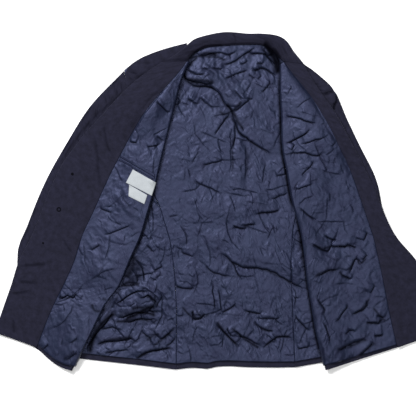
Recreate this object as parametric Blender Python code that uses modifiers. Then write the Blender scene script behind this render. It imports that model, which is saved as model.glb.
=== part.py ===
"""A single-breasted dress jacket, laid open on its back with the inside up.

Lengths are in millimetres until a mesh is made. +X runs to the wearer's left, +Y to the collar and
+Z up from the surface that it lies on. Each panel is a lofted wall of cloth. The panels are laid in
order on a height map of the pile, so each one rests on what is under it.
"""

import bmesh
import bpy
import numpy as np
from mathutils import Vector

MM = 0.001
WOOL = 1.5  # wall of the outer cloth
SATIN = 1.0  # wall of the lining
AIR = 0.35  # least room between two layers
SEAM = 0.3  # gap between two pieces at a seam
BEND = 3.0  # half of a rolled edge, seen from above
ROLL_TURNS = (-0.5, 0.0, 0.5)  # where its columns are, as bend() counts them
TUCK = 3.2  # how far an inner cloth stays inside an outer one at a rolled edge
CELL = 2.5  # cell of the height map
HALF_X = 560.0  # half of the height map, each way
HALF_Y = 440.0
CLEAR = 0.05  # of a wall: what a slope adds to its height, on each face
BARE = 0.2  # a height under this is the bare surface
DRAPE_STEPS = 80
SHARED_STEPS = 70  # steps that lift a point by its share of what a cell lacks. The rest lift it by all

# Rows of each loft, and how much higher than the pile under it a cloth lies.
FRONT_ROWS = 26
BACK_ROWS = 33
SHELL_ROWS = 16
UNDER_LOFT = 0.3
SHELL_LOFT = 1.0
FACING_LOFT = 1.0
LINING_LOFT = 3.5
STAND_LOFT = (0.0, 2.1, 3.0, 4.0, 2.0)  # from the collar's roll to its neck seam
HEM_DEPTH = 30.0
BACK_HEM_SHOWS = 14.0
FRONT_HEM_SHOWS = 7.0
FRONT_HEM_SHARE = 0.6  # of the hem's depth, on the fronts
LINING_STOPS = 8.0  # how far the lining ends before the side seam
LEAST_LAPEL = 3.5  # cloth turned under where the lapel has run out
FALL_DEPTH = 45.0
SLEEVE_ROOM = 1.8  # room inside a flat sleeve
BUTTON_DIAMETER = 20.0
BUTTON_THICKNESS = 3.2
BUTTON_RIM = 0.6
BUTTON_SIDES = 20

# Each front from the neck to the hem: its rolled or sewn edge, the seam of its facing, its inner
# fold, the side seam or armhole that it turns under to, the lapel's width and the hem's sag.
FRONT_FIELDS = (
    "edge_x", "edge_y", "seam_x", "seam_y", "fold_x", "fold_y", "turn_x", "turn_y", "lapel", "sag",
)
LEFT_FRONT = (
    (-126, 318.5, -69, 320, -62, 318, -69, 363.5, 20, 0),
    (-161, 295, -86, 297, -72, 299, -119, 350, 50, 0),
    (-198, 265, -113, 265, -83, 270, -166, 333, 74, 0),
    (-235, 228, -143, 231, -92, 233, -212, 300, 80, 0),
    (-269, 192, -170, 196, -102, 196, -202, 240, 76, 0),
    (-301, 158, -195, 155, -112, 157, -193, 185, 62, 0),
    (-331, 120, -218, 113, -122, 116, -184, 129, 40, 0),
    (-359, 79, -241, 70, -132, 74, -175, 77, 14, 0),
    (-383, 28, -264, 21, -144, 21, -189, 21, 4, 0),
    (-404, -25, -286, -29, -158, -27, -202, -32, 4, 0),
    (-425, -78, -309, -78, -174, -80, -218, -84, 4, 0),
    (-453, -133, -329, -140, -198, -133, -237, -140, 4, 0),
    (-471, -188, -353, -193, -223, -193, -258, -190, 4, 0),
    (-485, -227, -370, -227, -253, -232, -271, -225, 4, 0),
    (-499, -268, -390, -273, -281, -289, -297, -278, 4, 3),
    (-508, -301, -414, -335, -329, -390, -334, -357, 4, 12),
)
RIGHT_FRONT = (
    (198, 313, 154, 319, 143, 312, 186, 323, 20, 0),
    (215, 284, 170, 295, 143, 284, 216, 304, 45, 0),
    (233, 256, 193, 267, 143, 251, 244, 280, 62, 0),
    (253, 227, 217, 235, 145, 217, 274, 247, 70, 0),
    (273, 198, 239, 200, 147, 180, 260, 203, 68, 0),
    (292, 164, 260, 164, 147, 143, 246, 159, 60, 0),
    (312, 127, 278, 127, 151, 106, 232, 116, 52, 0),
    (331, 93, 297, 90, 158, 72, 218, 72, 44, 0),
    (350, 54, 312, 54, 164, 35, 205, 31, 34, 0),
    (370, 10, 328, 8, 172, -4, 207, -9, 22, 0),
    (388, -38, 343, -36, 184, -45, 212, -50, 10, 0),
    (412, -82, 358, -80, 194, -89, 216, -94, 4, 0),
    (451, -127, 370, -130, 200, -137, 223, -142, 4, 0),
    (483, -172, 381, -181, 206, -188, 230, -193, 4, 0),
    (500, -220, 391, -232, 215, -241, 238, -245, 4, 0),
    (507, -264, 401, -280, 224, -294, 248, -301, 4, 1),
    (508, -303, 414, -335, 245, -387, 262, -365, 4, 1),
)
# A sleeve from its armhole to its cuff: outer edge and inner edge.
LEFT_SLEEVE = (
    (-213.8, 300.6, -175.8, 76),
    (-290, 221, -212, 19),
    (-345, 135, -238, -45),
    (-394, 47, -261, -110),
    (-435, -52, -282, -170),
    (-459, -128, -300, -227),
    (-444, -268, -315, -285),
)
RIGHT_SLEEVE = (
    (274.8, 247.6, 205.8, 31),
    (299, 189, 212, -13),
    (331, 123, 217, -61),
    (364, 56, 224, -117),
    (379, -9, 232, -174),
    (393, -112, 241, -234),
    (405, -298, 258, -303),
)
SLEEVE_ROWS = 19

# The collar from the left gorge to the right: folded edge, neck seam, and how high it is borne.
COLLAR = (
    (-126.1, 319.4, -69.1, 320.9, 5),
    (-107, 328.5, -65, 330, 4),
    (-87, 343, -56, 341, 2),
    (-66, 361, -42, 348.5, 1),
    (-50, 373.5, -30, 354.5, 1),
    (-21, 382.5, -14, 358, 1),
    (12, 388.5, 12, 360.5, 1),
    (39, 388.5, 39, 361.5, 1),
    (71, 385.5, 71, 362.5, 1),
    (103, 385.5, 101, 362, 1),
    (138, 381, 122, 353, 1),
    (160, 368, 136, 341, 2),
    (178, 341, 146, 330, 3),
    (198.1, 313.9, 154.1, 319.9, 4),
)
COLLAR_ROWS = 25
FALL_FIRST_ROW = 6
FALL_LAST_ROW = 23

# The back's edges: across the shoulders and neck, down the two sides, and along the hem.
NECK = (
    (-213, 301), (-191, 319.5), (-168, 333), (-138, 343.5), (-108, 350), (-83, 349), (-66, 333),
    (-56, 340.5), (-43, 347.7), (-18, 356), (12, 359.5), (39, 360.5), (71, 361.5), (100, 361), (121, 352.5),
    (135, 340), (145, 329), (158, 324), (186, 324), (218, 303), (245, 277), (274, 247),
)
HEM = (
    (-93, -386), (-57, -382), (-21, -385), (-2, -380), (25, -378.5), (71, -381), (132, -382), (179, -381),
)
# The sides of the back: down the armhole, then down the seam with the side body.
LEFT_EDGE = (
    (-213, 301), (-194.2, 185), (-175, 77), (-154, 37), (-131, -13), (-108, -89), (-97, -170), (-93, -250),
    (-93, -386),
)
RIGHT_EDGE = (
    (274, 247), (239, 139), (205, 31), (186, -9), (174, -66), (170, -140), (172, -204), (175, -285),
    (179, -381),
)
# The outer edge of each side body, from the underarm to the hem, where the front turns back over it.
LEFT_TURN = (
    (-175, 77), (-189, 21), (-202, -32), (-218, -84), (-237, -140), (-258, -190), (-271, -225),
    (-297, -278), (-334, -359),
)
RIGHT_TURN = (
    (205, 31), (207, -9), (212, -50), (216, -94), (223, -142), (230, -193), (238, -245), (248, -301),
    (262, -367),
)
SIDE_STARTS = 30.0  # how far below the underarm a side body is first wide enough to cut

# The inner breast pocket's lips, each with its upper and its lower edge.
POCKET_JETS = (
    ("pocket_jet_upper", (-220, 108), (-141, 62), (-222, 101.3), (-142.2, 56)),
    ("pocket_jet_lower", (-222.2, 100.7), (-142.4, 55.4), (-224, 94), (-143.4, 50)),
)
# Label corners: top left, top right, bottom left, bottom right.
LABELS = (
    ("label", (-192, 73), (-139, 43), (-208, 43), (-149, 13)),
    ("label_tag", (-200.5, 38.5), (-159, 14.5), (-202, 12), (-166, -6)),
)
# What lies on the lining: its table, columns, rows and cloth.
ON_LINING = ((POCKET_JETS, 13, 2, "navy_satin"), (LABELS, 8, 7, "white_label"))
BUTTONS = (("button_1", -330, 62), ("button_2", -362, -18), ("button_3", -397, -95))

# Largest folds of the cloth: height, half width, and the line that each one follows.
BACK_FOLDS = (
    (-5, 15, (-80, 277), (-21, 265), (10, 242), (34, 205), (72, 144), (131, 106)),
    (5, 16, (-48, 297), (12, 270), (48, 224), (80, 169), (136, 134)),
    (-4, 14, (9, 309), (51, 331), (90, 357)),
    (-4, 13, (78, 305), (120, 301)),
    (-4, 13, (14, 281), (51, 297)),
    (-4, 13, (-39, 336), (2, 343), (30, 338)),
    (-6, 15, (-64, 325), (-69, 293)),
    (-3, 13, (-97, 221), (-83, 234)),
    (-4, 13, (-39, 240), (-5, 212)),
    (-3, 14, (30, 169), (30, 56)),
    (3, 15, (48, 164), (48, 44)),
    (-3, 14, (67, 134), (67, 47)),
    (-4, 13, (-36, 83), (15, 95)),
    (-4, 13, (-55, 51), (-9, 31), (14, 19)),
    (-3, 13, (103, 83), (120, 65)),
    (-4, 13, (133, 59), (161, 63)),
    (-4, 13, (121, 5), (165, 21)),
    (-4, 13, (85, -32), (124, -25), (147, -19)),
    (-4, 13, (34, -55), (91, -52)),
    (4, 15, (-39, -9), (53, -25), (90, -9)),
    (-5, 15, (-2, -114), (62, -149), (125, -158), (171, -187), (207, -204)),
    (5, 15, (-7, -94), (67, -126), (136, -135), (186, -167)),
    (-4, 13, (16, -118), (38, -143), (57, -185)),
    (-4, 13, (-31, -144), (32, -172)),
    (-3, 12, (-12, -183), (-2, -252)),
    (-4, 13, (9, -257), (46, -233)),
    (-4, 13, (-55, -255), (-25, -257)),
    (-4, 13, (-6, -271), (21, -303), (55, -337)),
    (4, 14, (-25, -287), (-2, -324), (25, -351)),
    (-4, 13, (38, -297), (101, -331)),
    (-4, 13, (105, -342), (146, -310), (175, -314)),
    (-4, 13, (84, -273), (131, -299)),
    (-3, 13, (60, -250), (105, -257)),
    (-3, 13, (148, -222), (165, -206)),
    (-3, 13, (177, -259), (213, -299)),
    (-3, 13, (182, -337), (214, -331)),
    (-5, 14, (-190, -121), (-168, -153), (-218, -190)),
    (5, 14, (-179, -224), (-158, -213), (-140, -234)),
    (-5, 13, (-225, -271), (-179, -252), (-154, -255)),
    (-4, 13, (-198, -279), (-136, -271)),
    (-5, 13, (-235, -252), (-278, -314)),
    (-4, 13, (-279, -332), (-223, -317), (-190, -311)),
    (-4, 13, (-190, -365), (-166, -347), (-106, -336)),
    (-3, 13, (-134, -317), (-102, -296)),
    (-3, 13, (-117, -331), (-92, -309)),
    (-4, 13, (-100, -188), (-49, -199)),
    (-3, 13, (-106, -134), (-79, -134)),
    (-3, 13, (-85, -112), (-53, -128)),
    (-3, 13, (-147, -158), (-124, -147)),
    (-3, 12, (-45, -87), (-43, -211)),
)
LEFT_FOLDS = (
    (-3, 13, (-140, 232), (-105, 201)),
    (-3, 13, (-201, 138), (-132, 132)),
    (-3, 13, (-138, 152), (-120, 136)),
    (3, 16, (-209, 12), (-172, -29)),
    (-3, 13, (-271, -14), (-239, -26)),
    (-4, 15, (-262, -78), (-209, -59)),
    (-3, 13, (-290, -112), (-267, -98)),
    (4, 14, (-278, -140), (-241, -158)),
    (-4, 13, (-306, -195), (-269, -204)),
    (-3, 13, (-366, -219), (-320, -211)),
    (-3, 13, (-347, -363), (-316, -341)),
    (-3, 12, (-337, -324), (-318, -310)),
    (-2, 14, (-283, 162), (-272, 49)),
    (-2, 14, (-263, 182), (-237, 95)),
    (-3, 16, (-260, -9), (-288, -55), (-297, -101)),
    (-2, 13, (-354, -81), (-324, -119)),
    (-2, 12, (-453, -147), (-384, -142)),
    (-2, 12, (-459, -181), (-407, -188)),
    (-2, 12, (-471, -211), (-427, -204)),
    (-3, 13, (-469, -266), (-467, -305)),
)
RIGHT_FOLDS = (
    (-3, 13, (152, 194), (186, 192), (229, 178)),
    (-4, 14, (156, 129), (185, 148), (215, 164)),
    (-3, 13, (189, 129), (248, 148)),
    (-4, 13, (163, 102), (232, 105)),
    (-3, 13, (193, 58), (221, 94)),
    (-4, 13, (185, -13), (229, -43)),
    (4, 14, (232, 12), (283, -20)),
    (-4, 13, (245, -75), (276, -88)),
    (-5, 13, (207, -94), (255, -111), (321, -111)),
    (4, 14, (218, -130), (274, -140)),
    (-4, 13, (228, -172), (278, -160), (310, -178)),
    (-4, 13, (303, -167), (317, -128), (344, -120)),
    (-3, 13, (350, -211), (361, -190)),
    (-5, 13, (307, -262), (336, -244), (346, -225)),
    (-3, 13, (365, -259), (384, -267)),
    (-3, 13, (340, -277), (377, -279)),
    (-4, 13, (292, -305), (307, -292)),
    (-3, 13, (359, -308), (382, -305)),
    (-5, 13, (270, -344), (301, -327), (346, -316)),
    (-3, 12, (324, -354), (361, -319)),
    (-3, 13, (243, -275), (257, -324)),
    (-4, 13, (270, -277), (301, -232)),
    (-4, 13, (228, -222), (248, -256)),
    (-3, 14, (347, -13), (370, -66)),
    (2, 14, (356, -140), (421, -153)),
)
SLEEVE_LEFT_FOLDS = (
    (4, 11, (-228, 274), (-198, 251)),
    (-3, 11, (-251, 251), (-214, 233)),
    (4, 11, (-274, 219), (-241, 205)),
    (3, 11, (-306, 178), (-274, 164)),
    (3, 11, (-338, 123), (-315, 118)),
)
SLEEVE_RIGHT_FOLDS = (
    (4, 11, (228, 293), (251, 251)),
    (-3, 11, (241, 251), (269, 251)),
    (4, 11, (260, 228), (288, 215)),
    (3, 11, (292, 169), (315, 164)),
)

# sRGB colour and roughness of each cloth.
CLOTHS = {
    "navy_wool": ("#2b2b3a", 0.9),
    "navy_satin": ("#3c4160", 0.45),
    "white_label": ("#d9dbe2", 0.7),
    "navy_button": ("#23242f", 0.5),
}


def spline(rows, count):
    """A table's rows, or a line's points, run smoothly through count rows."""
    rows = np.array(rows, float)
    padded = np.vstack([2 * rows[0] - rows[1], rows, 2 * rows[-1] - rows[-2]])
    place = np.linspace(0, len(rows) - 1, count)
    start = np.minimum(place.astype(int), len(rows) - 2)
    t = (place - start)[:, None]
    a, b, c, d = (padded[start + step] for step in range(4))
    cubic = (3 * b - a - 3 * c + d) * t**3
    return 0.5 * (2 * b + (c - a) * t + (2 * a - 5 * b + 4 * c - d) * t**2 + cubic)


def shares_of(line):
    """How far along its line each point is, from 0 to 1."""
    length = np.concatenate([[0], np.cumsum(np.hypot(*np.diff(np.array(line, float), axis=0).T))])
    return length / length[-1]


def at_shares(line, shares):
    """Points at these shares of a line's length."""
    line = np.array(line, float)
    return np.stack([np.interp(shares, shares_of(line), line[:, axis]) for axis in (0, 1)], axis=1)


def mix(a, b, share):
    """Points part of the way from a to b, with a row for each point and a column for each share."""
    share = np.asarray(share, float)[None, :, None]
    return a[:, None] * (1 - share) + b[:, None] * share


def unit(vectors):
    length = np.linalg.norm(vectors, axis=-1, keepdims=True)
    return vectors / np.maximum(length, 1e-9)


def folds_at(flat, table):
    """Height that the folds of a table add at each point."""
    height = np.zeros(flat.shape[:-1])
    for high, half_width, *line in table:
        line = np.array(line, float)
        nearest = np.full(flat.shape[:-1], np.inf)
        for start, end in zip(line[:-1], line[1:]):
            span = end - start
            share = np.clip(((flat - start) @ span) / (span @ span), 0, 1)
            nearest = np.minimum(nearest, np.linalg.norm(flat - start - share[..., None] * span, axis=-1))
        height += high * np.exp(-((nearest / half_width) ** 2))
    return height


def grid_triangles(rows, columns, closed=False):
    """The two triangles of each cell of a grid, as numbers of its points."""
    number = np.arange(rows * columns).reshape(rows, columns)
    if closed:
        number = np.concatenate([number, number[:, :1]], axis=1)
    a, b, c, d = number[:-1, :-1], number[:-1, 1:], number[1:, 1:], number[1:, :-1]
    first = np.stack([a, b, c], axis=-1).reshape(-1, 3)
    second = np.stack([a, c, d], axis=-1).reshape(-1, 3)
    return np.concatenate([first, second])


def spread(height, reach, join):
    """Each cell joined with its neighbours, reach cells each way."""
    for axis in (0, 1):
        sides = [np.roll(height, step, axis) for step in range(-reach, reach + 1)]
        height = join(sides, axis=0)
    return height


class Pile:
    """The height of the cloth laid so far, over a square grid on the surface."""

    def __init__(self):
        self.top = np.zeros((int(2 * HALF_Y / CELL) + 1, int(2 * HALF_X / CELL) + 1))

    def cell_of(self, flat):
        place = np.rint((flat + (HALF_X, HALF_Y)) / CELL).astype(int)
        return place[..., 1], place[..., 0]

    def cover(self, flat, triangles):
        """Every cell that the triangles cover, with the corners and weights that give its height."""
        numbers = np.arange(len(flat))
        rows, columns = self.cell_of(flat)
        parts = [(rows, columns, np.stack([numbers] * 3, axis=1), np.tile([1.0, 0, 0], (len(flat), 1)))]
        for corners in triangles:
            a, b, c = flat[corners]
            area = (b[0] - a[0]) * (c[1] - a[1]) - (c[0] - a[0]) * (b[1] - a[1])
            if abs(area) < 1e-3:
                continue
            low = np.ceil((np.min((a, b, c), axis=0) + (HALF_X, HALF_Y)) / CELL).astype(int)
            high = np.floor((np.max((a, b, c), axis=0) + (HALF_X, HALF_Y)) / CELL).astype(int)
            column, row = np.meshgrid(np.arange(low[0], high[0] + 1), np.arange(low[1], high[1] + 1))
            x = column * CELL - HALF_X - a[0]
            y = row * CELL - HALF_Y - a[1]
            to_b = (x * (c[1] - a[1]) - (c[0] - a[0]) * y) / area
            to_c = ((b[0] - a[0]) * y - x * (b[1] - a[1])) / area
            inside = (to_b >= -0.01) & (to_c >= -0.01) & (to_b + to_c <= 1.01)
            weights = np.stack([1 - to_b - to_c, to_b, to_c], axis=-1)[inside]
            parts.append((row[inside], column[inside], np.tile(corners, (len(weights), 1)), weights))
        return [np.concatenate(column) for column in zip(*parts)]

    def drape(self, flat, wall, loft, reach=3, slack=1):
        """Middle height of a sheet laid over the pile, which it never comes nearer to than AIR.

        Slack is how many cells round about count as under each cell, against slopes between cells.
        """
        rows, columns = flat.shape[:2]
        points = flat.reshape(-1, 2)
        row, column, corners, weights = self.cover(points, grid_triangles(rows, columns))
        below = spread(self.top, slack, np.max)
        least = np.where(below > 0, below + AIR + CLEAR * wall, 0)[row, column] + wall / 2
        soft = spread(spread(self.top, reach, np.max), reach, np.mean)
        own_row, own_column = self.cell_of(points)
        base = soft[own_row, own_column]
        height = np.where(base > BARE, base + AIR, 0) + wall / 2
        height += np.broadcast_to(loft, flat.shape[:2]).reshape(-1)
        height = np.maximum(height, wall / 2)
        share = weights / (weights**2).sum(axis=1, keepdims=True)
        for step in range(DRAPE_STEPS):
            lack = np.maximum(least - (height[corners] * weights).sum(axis=1), 0)
            if lack.max() < 0.01:
                break
            lift = np.zeros_like(height)
            lifts = lack[:, None] * (share if step < SHARED_STEPS else weights > 0.001)
            np.maximum.at(lift, corners, lifts)
            height += lift
        return height.reshape(rows, columns)

    def add(self, points, wall, closed=False):
        """Puts a sheet's upper face on the pile."""
        rows, columns = points.shape[:2]
        flat = points[..., :2].reshape(-1, 2)
        row, column, corners, weights = self.cover(flat, grid_triangles(rows, columns, closed))
        height = (points[..., 2].reshape(-1)[corners] * weights).sum(axis=1) + (0.5 + CLEAR) * wall
        np.maximum.at(self.top, (row, column), height)


def joined(flat, height):
    return np.concatenate([flat, height[..., None]], axis=-1)


def leaning(points, closed=False):
    """The way each point's wall is thick. It stays upright at the cut edges, so seams keep their gap."""
    if closed:
        across = np.roll(points, -1, axis=1) - np.roll(points, 1, axis=1)
    else:
        across = np.gradient(points, axis=1)
    down = np.gradient(points, axis=0)
    normal = unit(np.cross(across, down))
    level = unit(down * (1, 1, 0))
    outward = np.stack([-level[..., 1], level[..., 0], level[..., 2]], axis=-1)
    edges = [(np.s_[0], level), (np.s_[-1], level)]
    if not closed:
        edges += [(np.s_[:, 0], outward), (np.s_[:, -1], outward)]
    for edge, cut in edges:
        kept = normal[edge] - (normal[edge] * cut[edge]).sum(axis=-1, keepdims=True) * cut[edge]
        normal[edge] = unit(kept)
    return normal


def material(name):
    """A Principled material with a cloth's colour and roughness."""
    found = bpy.data.materials.get(name)
    if found:
        return found
    colour, roughness = CLOTHS[name]
    made = bpy.data.materials.new(name)
    made.use_nodes = True
    surface = made.node_tree.nodes["Principled BSDF"]
    channels = [int(colour[start:start + 2], 16) / 255 for start in (1, 3, 5)]
    linear = [((c + 0.055) / 1.055) ** 2.4 if c > 0.04 else c / 12.92 for c in channels]
    surface.inputs["Base Color"].default_value = (*linear, 1)
    surface.inputs["Roughness"].default_value = roughness
    surface.inputs["Metallic"].default_value = 0.0
    made.diffuse_color = (*linear, 1)
    return made


def place(name, mesh, cloth, origin):
    """An object of this mesh, in the jacket's collection and under its frame."""
    piece = bpy.data.objects.new(name, mesh)
    piece.location = origin
    piece.parent = frame
    mesh.materials.append(material(cloth))
    jacket.objects.link(piece)
    return piece


def cloth_piece(name, points, wall, cloth, closed=False):
    """A wall lofted through the rows of a grid, from its upper face round to its lower one."""
    half = leaning(points, closed) * wall / 2
    rows, columns = points.shape[:2]
    origin = points.reshape(-1, 3).mean(axis=0) * (1, 1, 0)
    shape = bmesh.new()
    sides = []
    for side in (points + half, points - half):
        local = (side - origin).reshape(-1, 3) * MM
        made = [shape.verts.new(point) for point in local]
        sides.append([made[row * columns:(row + 1) * columns] for row in range(rows)])
    upper, lower = sides
    steps = range(columns) if closed else range(columns - 1)
    for row in range(rows - 1):
        for column in steps:
            after = (column + 1) % columns
            for side in sides:
                near, far = side[row], side[row + 1]
                shape.faces.new((near[column], near[after], far[after], far[column]))
    for row in (0, rows - 1):
        above, below = upper[row], lower[row]
        for column in steps:
            after = (column + 1) % columns
            shape.faces.new((above[column], above[after], below[after], below[column]))
    if not closed:
        for row in range(rows - 1):
            above, above_next, below, below_next = upper[row], upper[row + 1], lower[row], lower[row + 1]
            for column in (0, columns - 1):
                shape.faces.new((above[column], above_next[column], below_next[column], below[column]))
    bmesh.ops.triangulate(shape, faces=shape.faces[:], quad_method="FIXED")
    bmesh.ops.recalc_face_normals(shape, faces=shape.faces[:])
    mesh = bpy.data.meshes.new(name)
    shape.to_mesh(mesh)
    shape.free()
    return place(name, mesh, cloth, origin * MM)


def drawn_in(points, first=0.0, last=0.0, top=0.0, bottom=0.0):
    """The grid with its edges moved in by these distances, to leave a seam's gap or a hem's strip."""
    points = points.copy()
    if first:
        points[:, 0] += unit(points[:, 1] - points[:, 0]) * first
    if last:
        points[:, -1] += unit(points[:, -2] - points[:, -1]) * last
    if top:
        points[0] += unit(points[1] - points[0]) * top
    if bottom:
        points[-1] += unit(points[-2] - points[-1]) * bottom
    return points


def patch(left, right, top, bottom, across):
    """A flat grid between four edges, with a point for each row at the sides and each column at the ends."""
    v = np.linspace(0, 1, len(left))[:, None, None]
    u = np.asarray(across)[None, :, None]
    sides = left[:, None] * (1 - u) + right[:, None] * u
    ends = top[None] * (1 - v) + bottom[None] * v
    corners = (1 - v) * ((1 - u) * top[0] + u * top[-1]) + v * ((1 - u) * bottom[0] + u * bottom[-1])
    return sides + ends - corners


def bend(rim, inward, low, high, tuck, wall, turns):
    """Columns round a rolled edge. Turn -1 is its lower end, 0 its outermost line and 1 its upper end."""
    angle = np.array(turns) * np.pi / 2
    back = tuck + wall / 2 + BEND * (1 - np.cos(angle))
    flat = rim[:, None] + inward[:, None] * back[None, :, None]
    share = (1 + np.sin(angle)) / 2
    return joined(flat, low[:, None] * (1 - share) + high[:, None] * share)


class Front:
    """One front: its shell and its inside sheet, both rolled at the lapel and at the inner fold."""

    LAPEL_SHARES = (1.0, 0.4, 0.0)
    UNDER_SHARES = (0.0, 0.3, 0.65, 1.0)
    SHELL_OUTER_SHARES = (0.0, 0.5, 1.0)
    SHELL_INNER_SHARES = (0.0, 0.33, 0.67, 1.0)
    FACING_SHARES = (0.0, 0.25, 0.5, 0.75, 1.0)

    def __init__(self, side, table, folds, columns):
        rows = spline(table, FRONT_ROWS)
        field = dict(zip(FRONT_FIELDS, rows.T))
        self.side = side
        self.folds = folds
        self.edge, self.seam, self.fold, self.turn = (
            np.stack([field[part + "_x"], field[part + "_y"]], axis=1)
            for part in ("edge", "seam", "fold", "turn")
        )
        self.lapel = np.maximum(field["lapel"], LEAST_LAPEL)[:, None]
        self.sag = np.maximum(field["sag"], 0)
        self.in_from_edge = unit(self.seam - self.edge)
        self.in_from_fold = unit(self.seam - self.fold)
        self.lining_shares = np.linspace(0, 1, columns)

    def under(self, wall, tuck, stops):
        """Flat grid of the limb from the inner fold back to the side seam, under the front."""
        start = self.fold + self.in_from_fold * (tuck + wall / 2 + BEND)
        end = self.turn + unit(start - self.turn) * stops
        return mix(start, end, self.UNDER_SHARES)

    def lapel_limb(self, wall, tuck, shorter):
        """Flat grid of the lapel, from its free edge out to the roll line."""
        near = tuck + wall / 2 + BEND
        far = np.maximum(self.lapel + near - shorter, near + 2)
        reach = far * np.array(self.LAPEL_SHARES) + near * (1 - np.array(self.LAPEL_SHARES))
        return self.edge[:, None] + self.in_from_edge[:, None] * reach[..., None]

    def upper(self, wall, tuck, shares_out, shares_in):
        """Flat grid of the upper limb, from the roll line in to the inner fold."""
        start = self.edge + self.in_from_edge * (tuck + wall / 2 + BEND)
        end = self.fold + self.in_from_fold * (tuck + wall / 2 + BEND)
        outer = mix(start, self.seam, shares_out)
        inner = mix(self.seam, end, shares_in)
        inner[..., 1] -= self.sag[:, None] * np.sin(np.pi * np.array(shares_in))
        return np.concatenate([outer, inner[:, 1:]], axis=1)

    def rolled(self, lapel, upper, under, wall, tuck):
        """The whole sheet: lapel, roll line, upper limb, inner fold and under limb."""
        roll = bend(self.edge, self.in_from_edge, lapel[:, -1, 2], upper[:, 0, 2], tuck, wall, ROLL_TURNS)
        inner = bend(self.fold, self.in_from_fold, under[:, 0, 2], upper[:, -1, 2], tuck, wall, ROLL_TURNS)
        return np.concatenate([lapel, roll, upper, inner[:, ::-1], under], axis=1)


def lay(pile, flat, wall, loft, add=True, reach=3, slack=1):
    """A sheet draped on the pile, as points."""
    points = joined(flat, pile.drape(flat, wall, loft, reach, slack))
    if add:
        pile.add(points, wall)
    return points


def sleeve(name, table, folds):
    """A sleeve pressed flat: one ring round its two layers, from the armhole to the cuff."""
    rows = spline(table, SLEEVE_ROWS)
    outer, inner = rows[:, :2], rows[:, 2:]
    out = unit(outer - inner)
    rim_out = outer - out * (WOOL / 2 + BEND)
    rim_in = inner + out * (WOOL / 2 + BEND)
    low = mix(rim_in, rim_out, (0.0, 0.5, 1.0))
    high = mix(rim_out, rim_in, np.linspace(0, 1, 6))
    ripple = np.maximum(folds_at(high, folds), 0)
    top = WOOL * 1.5 + SLEEVE_ROOM + ripple
    bottom = np.full(low.shape[:2], WOOL / 2)
    outside = bend(outer, -out, bottom[:, -1], top[:, 0], 0, WOOL, ROLL_TURNS)
    inside = bend(inner, out, bottom[:, 0], top[:, -1], 0, WOOL, ROLL_TURNS)
    points = np.concatenate([joined(low, bottom), outside, joined(high, top), inside[:, ::-1]], axis=1)
    cloth_piece(name, points, WOOL, "navy_wool", closed=True)
    return points


def button(name, x, y, pile):
    """A round button with a softened rim, lying on the pile."""
    shape = bmesh.new()
    bmesh.ops.create_cone(
        shape, cap_ends=True, segments=BUTTON_SIDES, radius1=BUTTON_DIAMETER / 2 * MM,
        radius2=BUTTON_DIAMETER / 2 * MM, depth=BUTTON_THICKNESS * MM,
    )
    mesh = bpy.data.meshes.new(name)
    shape.to_mesh(mesh)
    shape.free()
    angle = np.linspace(0, 2 * np.pi, BUTTON_SIDES, endpoint=False)
    ring = np.stack([np.cos(angle), np.sin(angle)], axis=-1)
    radii = np.array([0.0, 0.5, 1.0]) * (BUTTON_DIAMETER / 2 + AIR)
    disc = (x, y) + radii[:, None, None] * ring
    row, column = pile.cell_of(disc)
    rest = spread(pile.top, 1, np.max)[row, column].max() + AIR
    pile.add(joined(disc, np.full(disc.shape[:2], rest + BUTTON_THICKNESS)), 0.0, closed=True)
    piece = place(name, mesh, "navy_button", (x * MM, y * MM, (rest + BUTTON_THICKNESS / 2) * MM))
    rim = piece.modifiers.new("rim", "BEVEL")
    rim.width = BUTTON_RIM * MM
    rim.segments = 1
    rim.limit_method = "ANGLE"


for old in list(bpy.data.objects):
    bpy.data.objects.remove(old, do_unlink=True)
jacket = bpy.data.collections.new("dress_jacket")
bpy.context.scene.collection.children.link(jacket)
frame = bpy.data.objects.new("dress_jacket_frame", None)
jacket.objects.link(frame)

pile = Pile()
left = Front("left", LEFT_FRONT, LEFT_FOLDS, 9)
right = Front("right", RIGHT_FRONT, RIGHT_FOLDS, 9)
fronts = (left, right)

collar = spline(COLLAR, COLLAR_ROWS)
collar_edge, collar_seam, collar_borne = collar[:, :2], collar[:, 2:4], collar[:, 4:]
collar_in = unit(collar_seam - collar_edge)
roll_start = collar_edge + collar_in * WOOL / 2
roll_end = collar_edge + collar_in * (WOOL / 2 + BEND)

# The collar's fall lies on the surface, under the neck of the back.
fall_end = collar_edge + collar_in * FALL_DEPTH
fall_flat = np.concatenate([mix(fall_end, roll_end, (0.0, 0.5, 1.0)), roll_start[:, None]], axis=1)
fall = lay(pile, fall_flat[FALL_FIRST_ROW:FALL_LAST_ROW], WOOL, 0)


def back_flat(rows):
    """Flat grid of the back, with a column at each point of the neck line."""
    across = shares_of(NECK)
    down = np.linspace(0, 1, rows)
    sides = at_shares(LEFT_EDGE, down), at_shares(RIGHT_EDGE, down)
    return patch(*sides, np.array(NECK, float), at_shares(HEM, across), across)


def side_flat(edge, turn, rows, columns, stops):
    """Flat grid of a side body, from its seam with the back to where the front turns back over it."""
    seam = at_shares(edge, np.linspace(0, 1, rows))
    seam = seam[seam[:, 1] < turn[0][1] - SIDE_STARTS]
    turn = np.array(turn, float)
    down = (seam[0, 1] - seam[:, 1]) / (seam[0, 1] - seam[-1, 1])
    y = seam[0, 1] + (turn[-1, 1] - seam[0, 1]) * down
    outer = np.stack([np.interp(-y, -turn[:, 1], turn[:, 0]), y], axis=1)
    outer += unit(seam - outer) * stops
    return mix(seam, outer, np.linspace(0, 1, columns))


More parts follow.
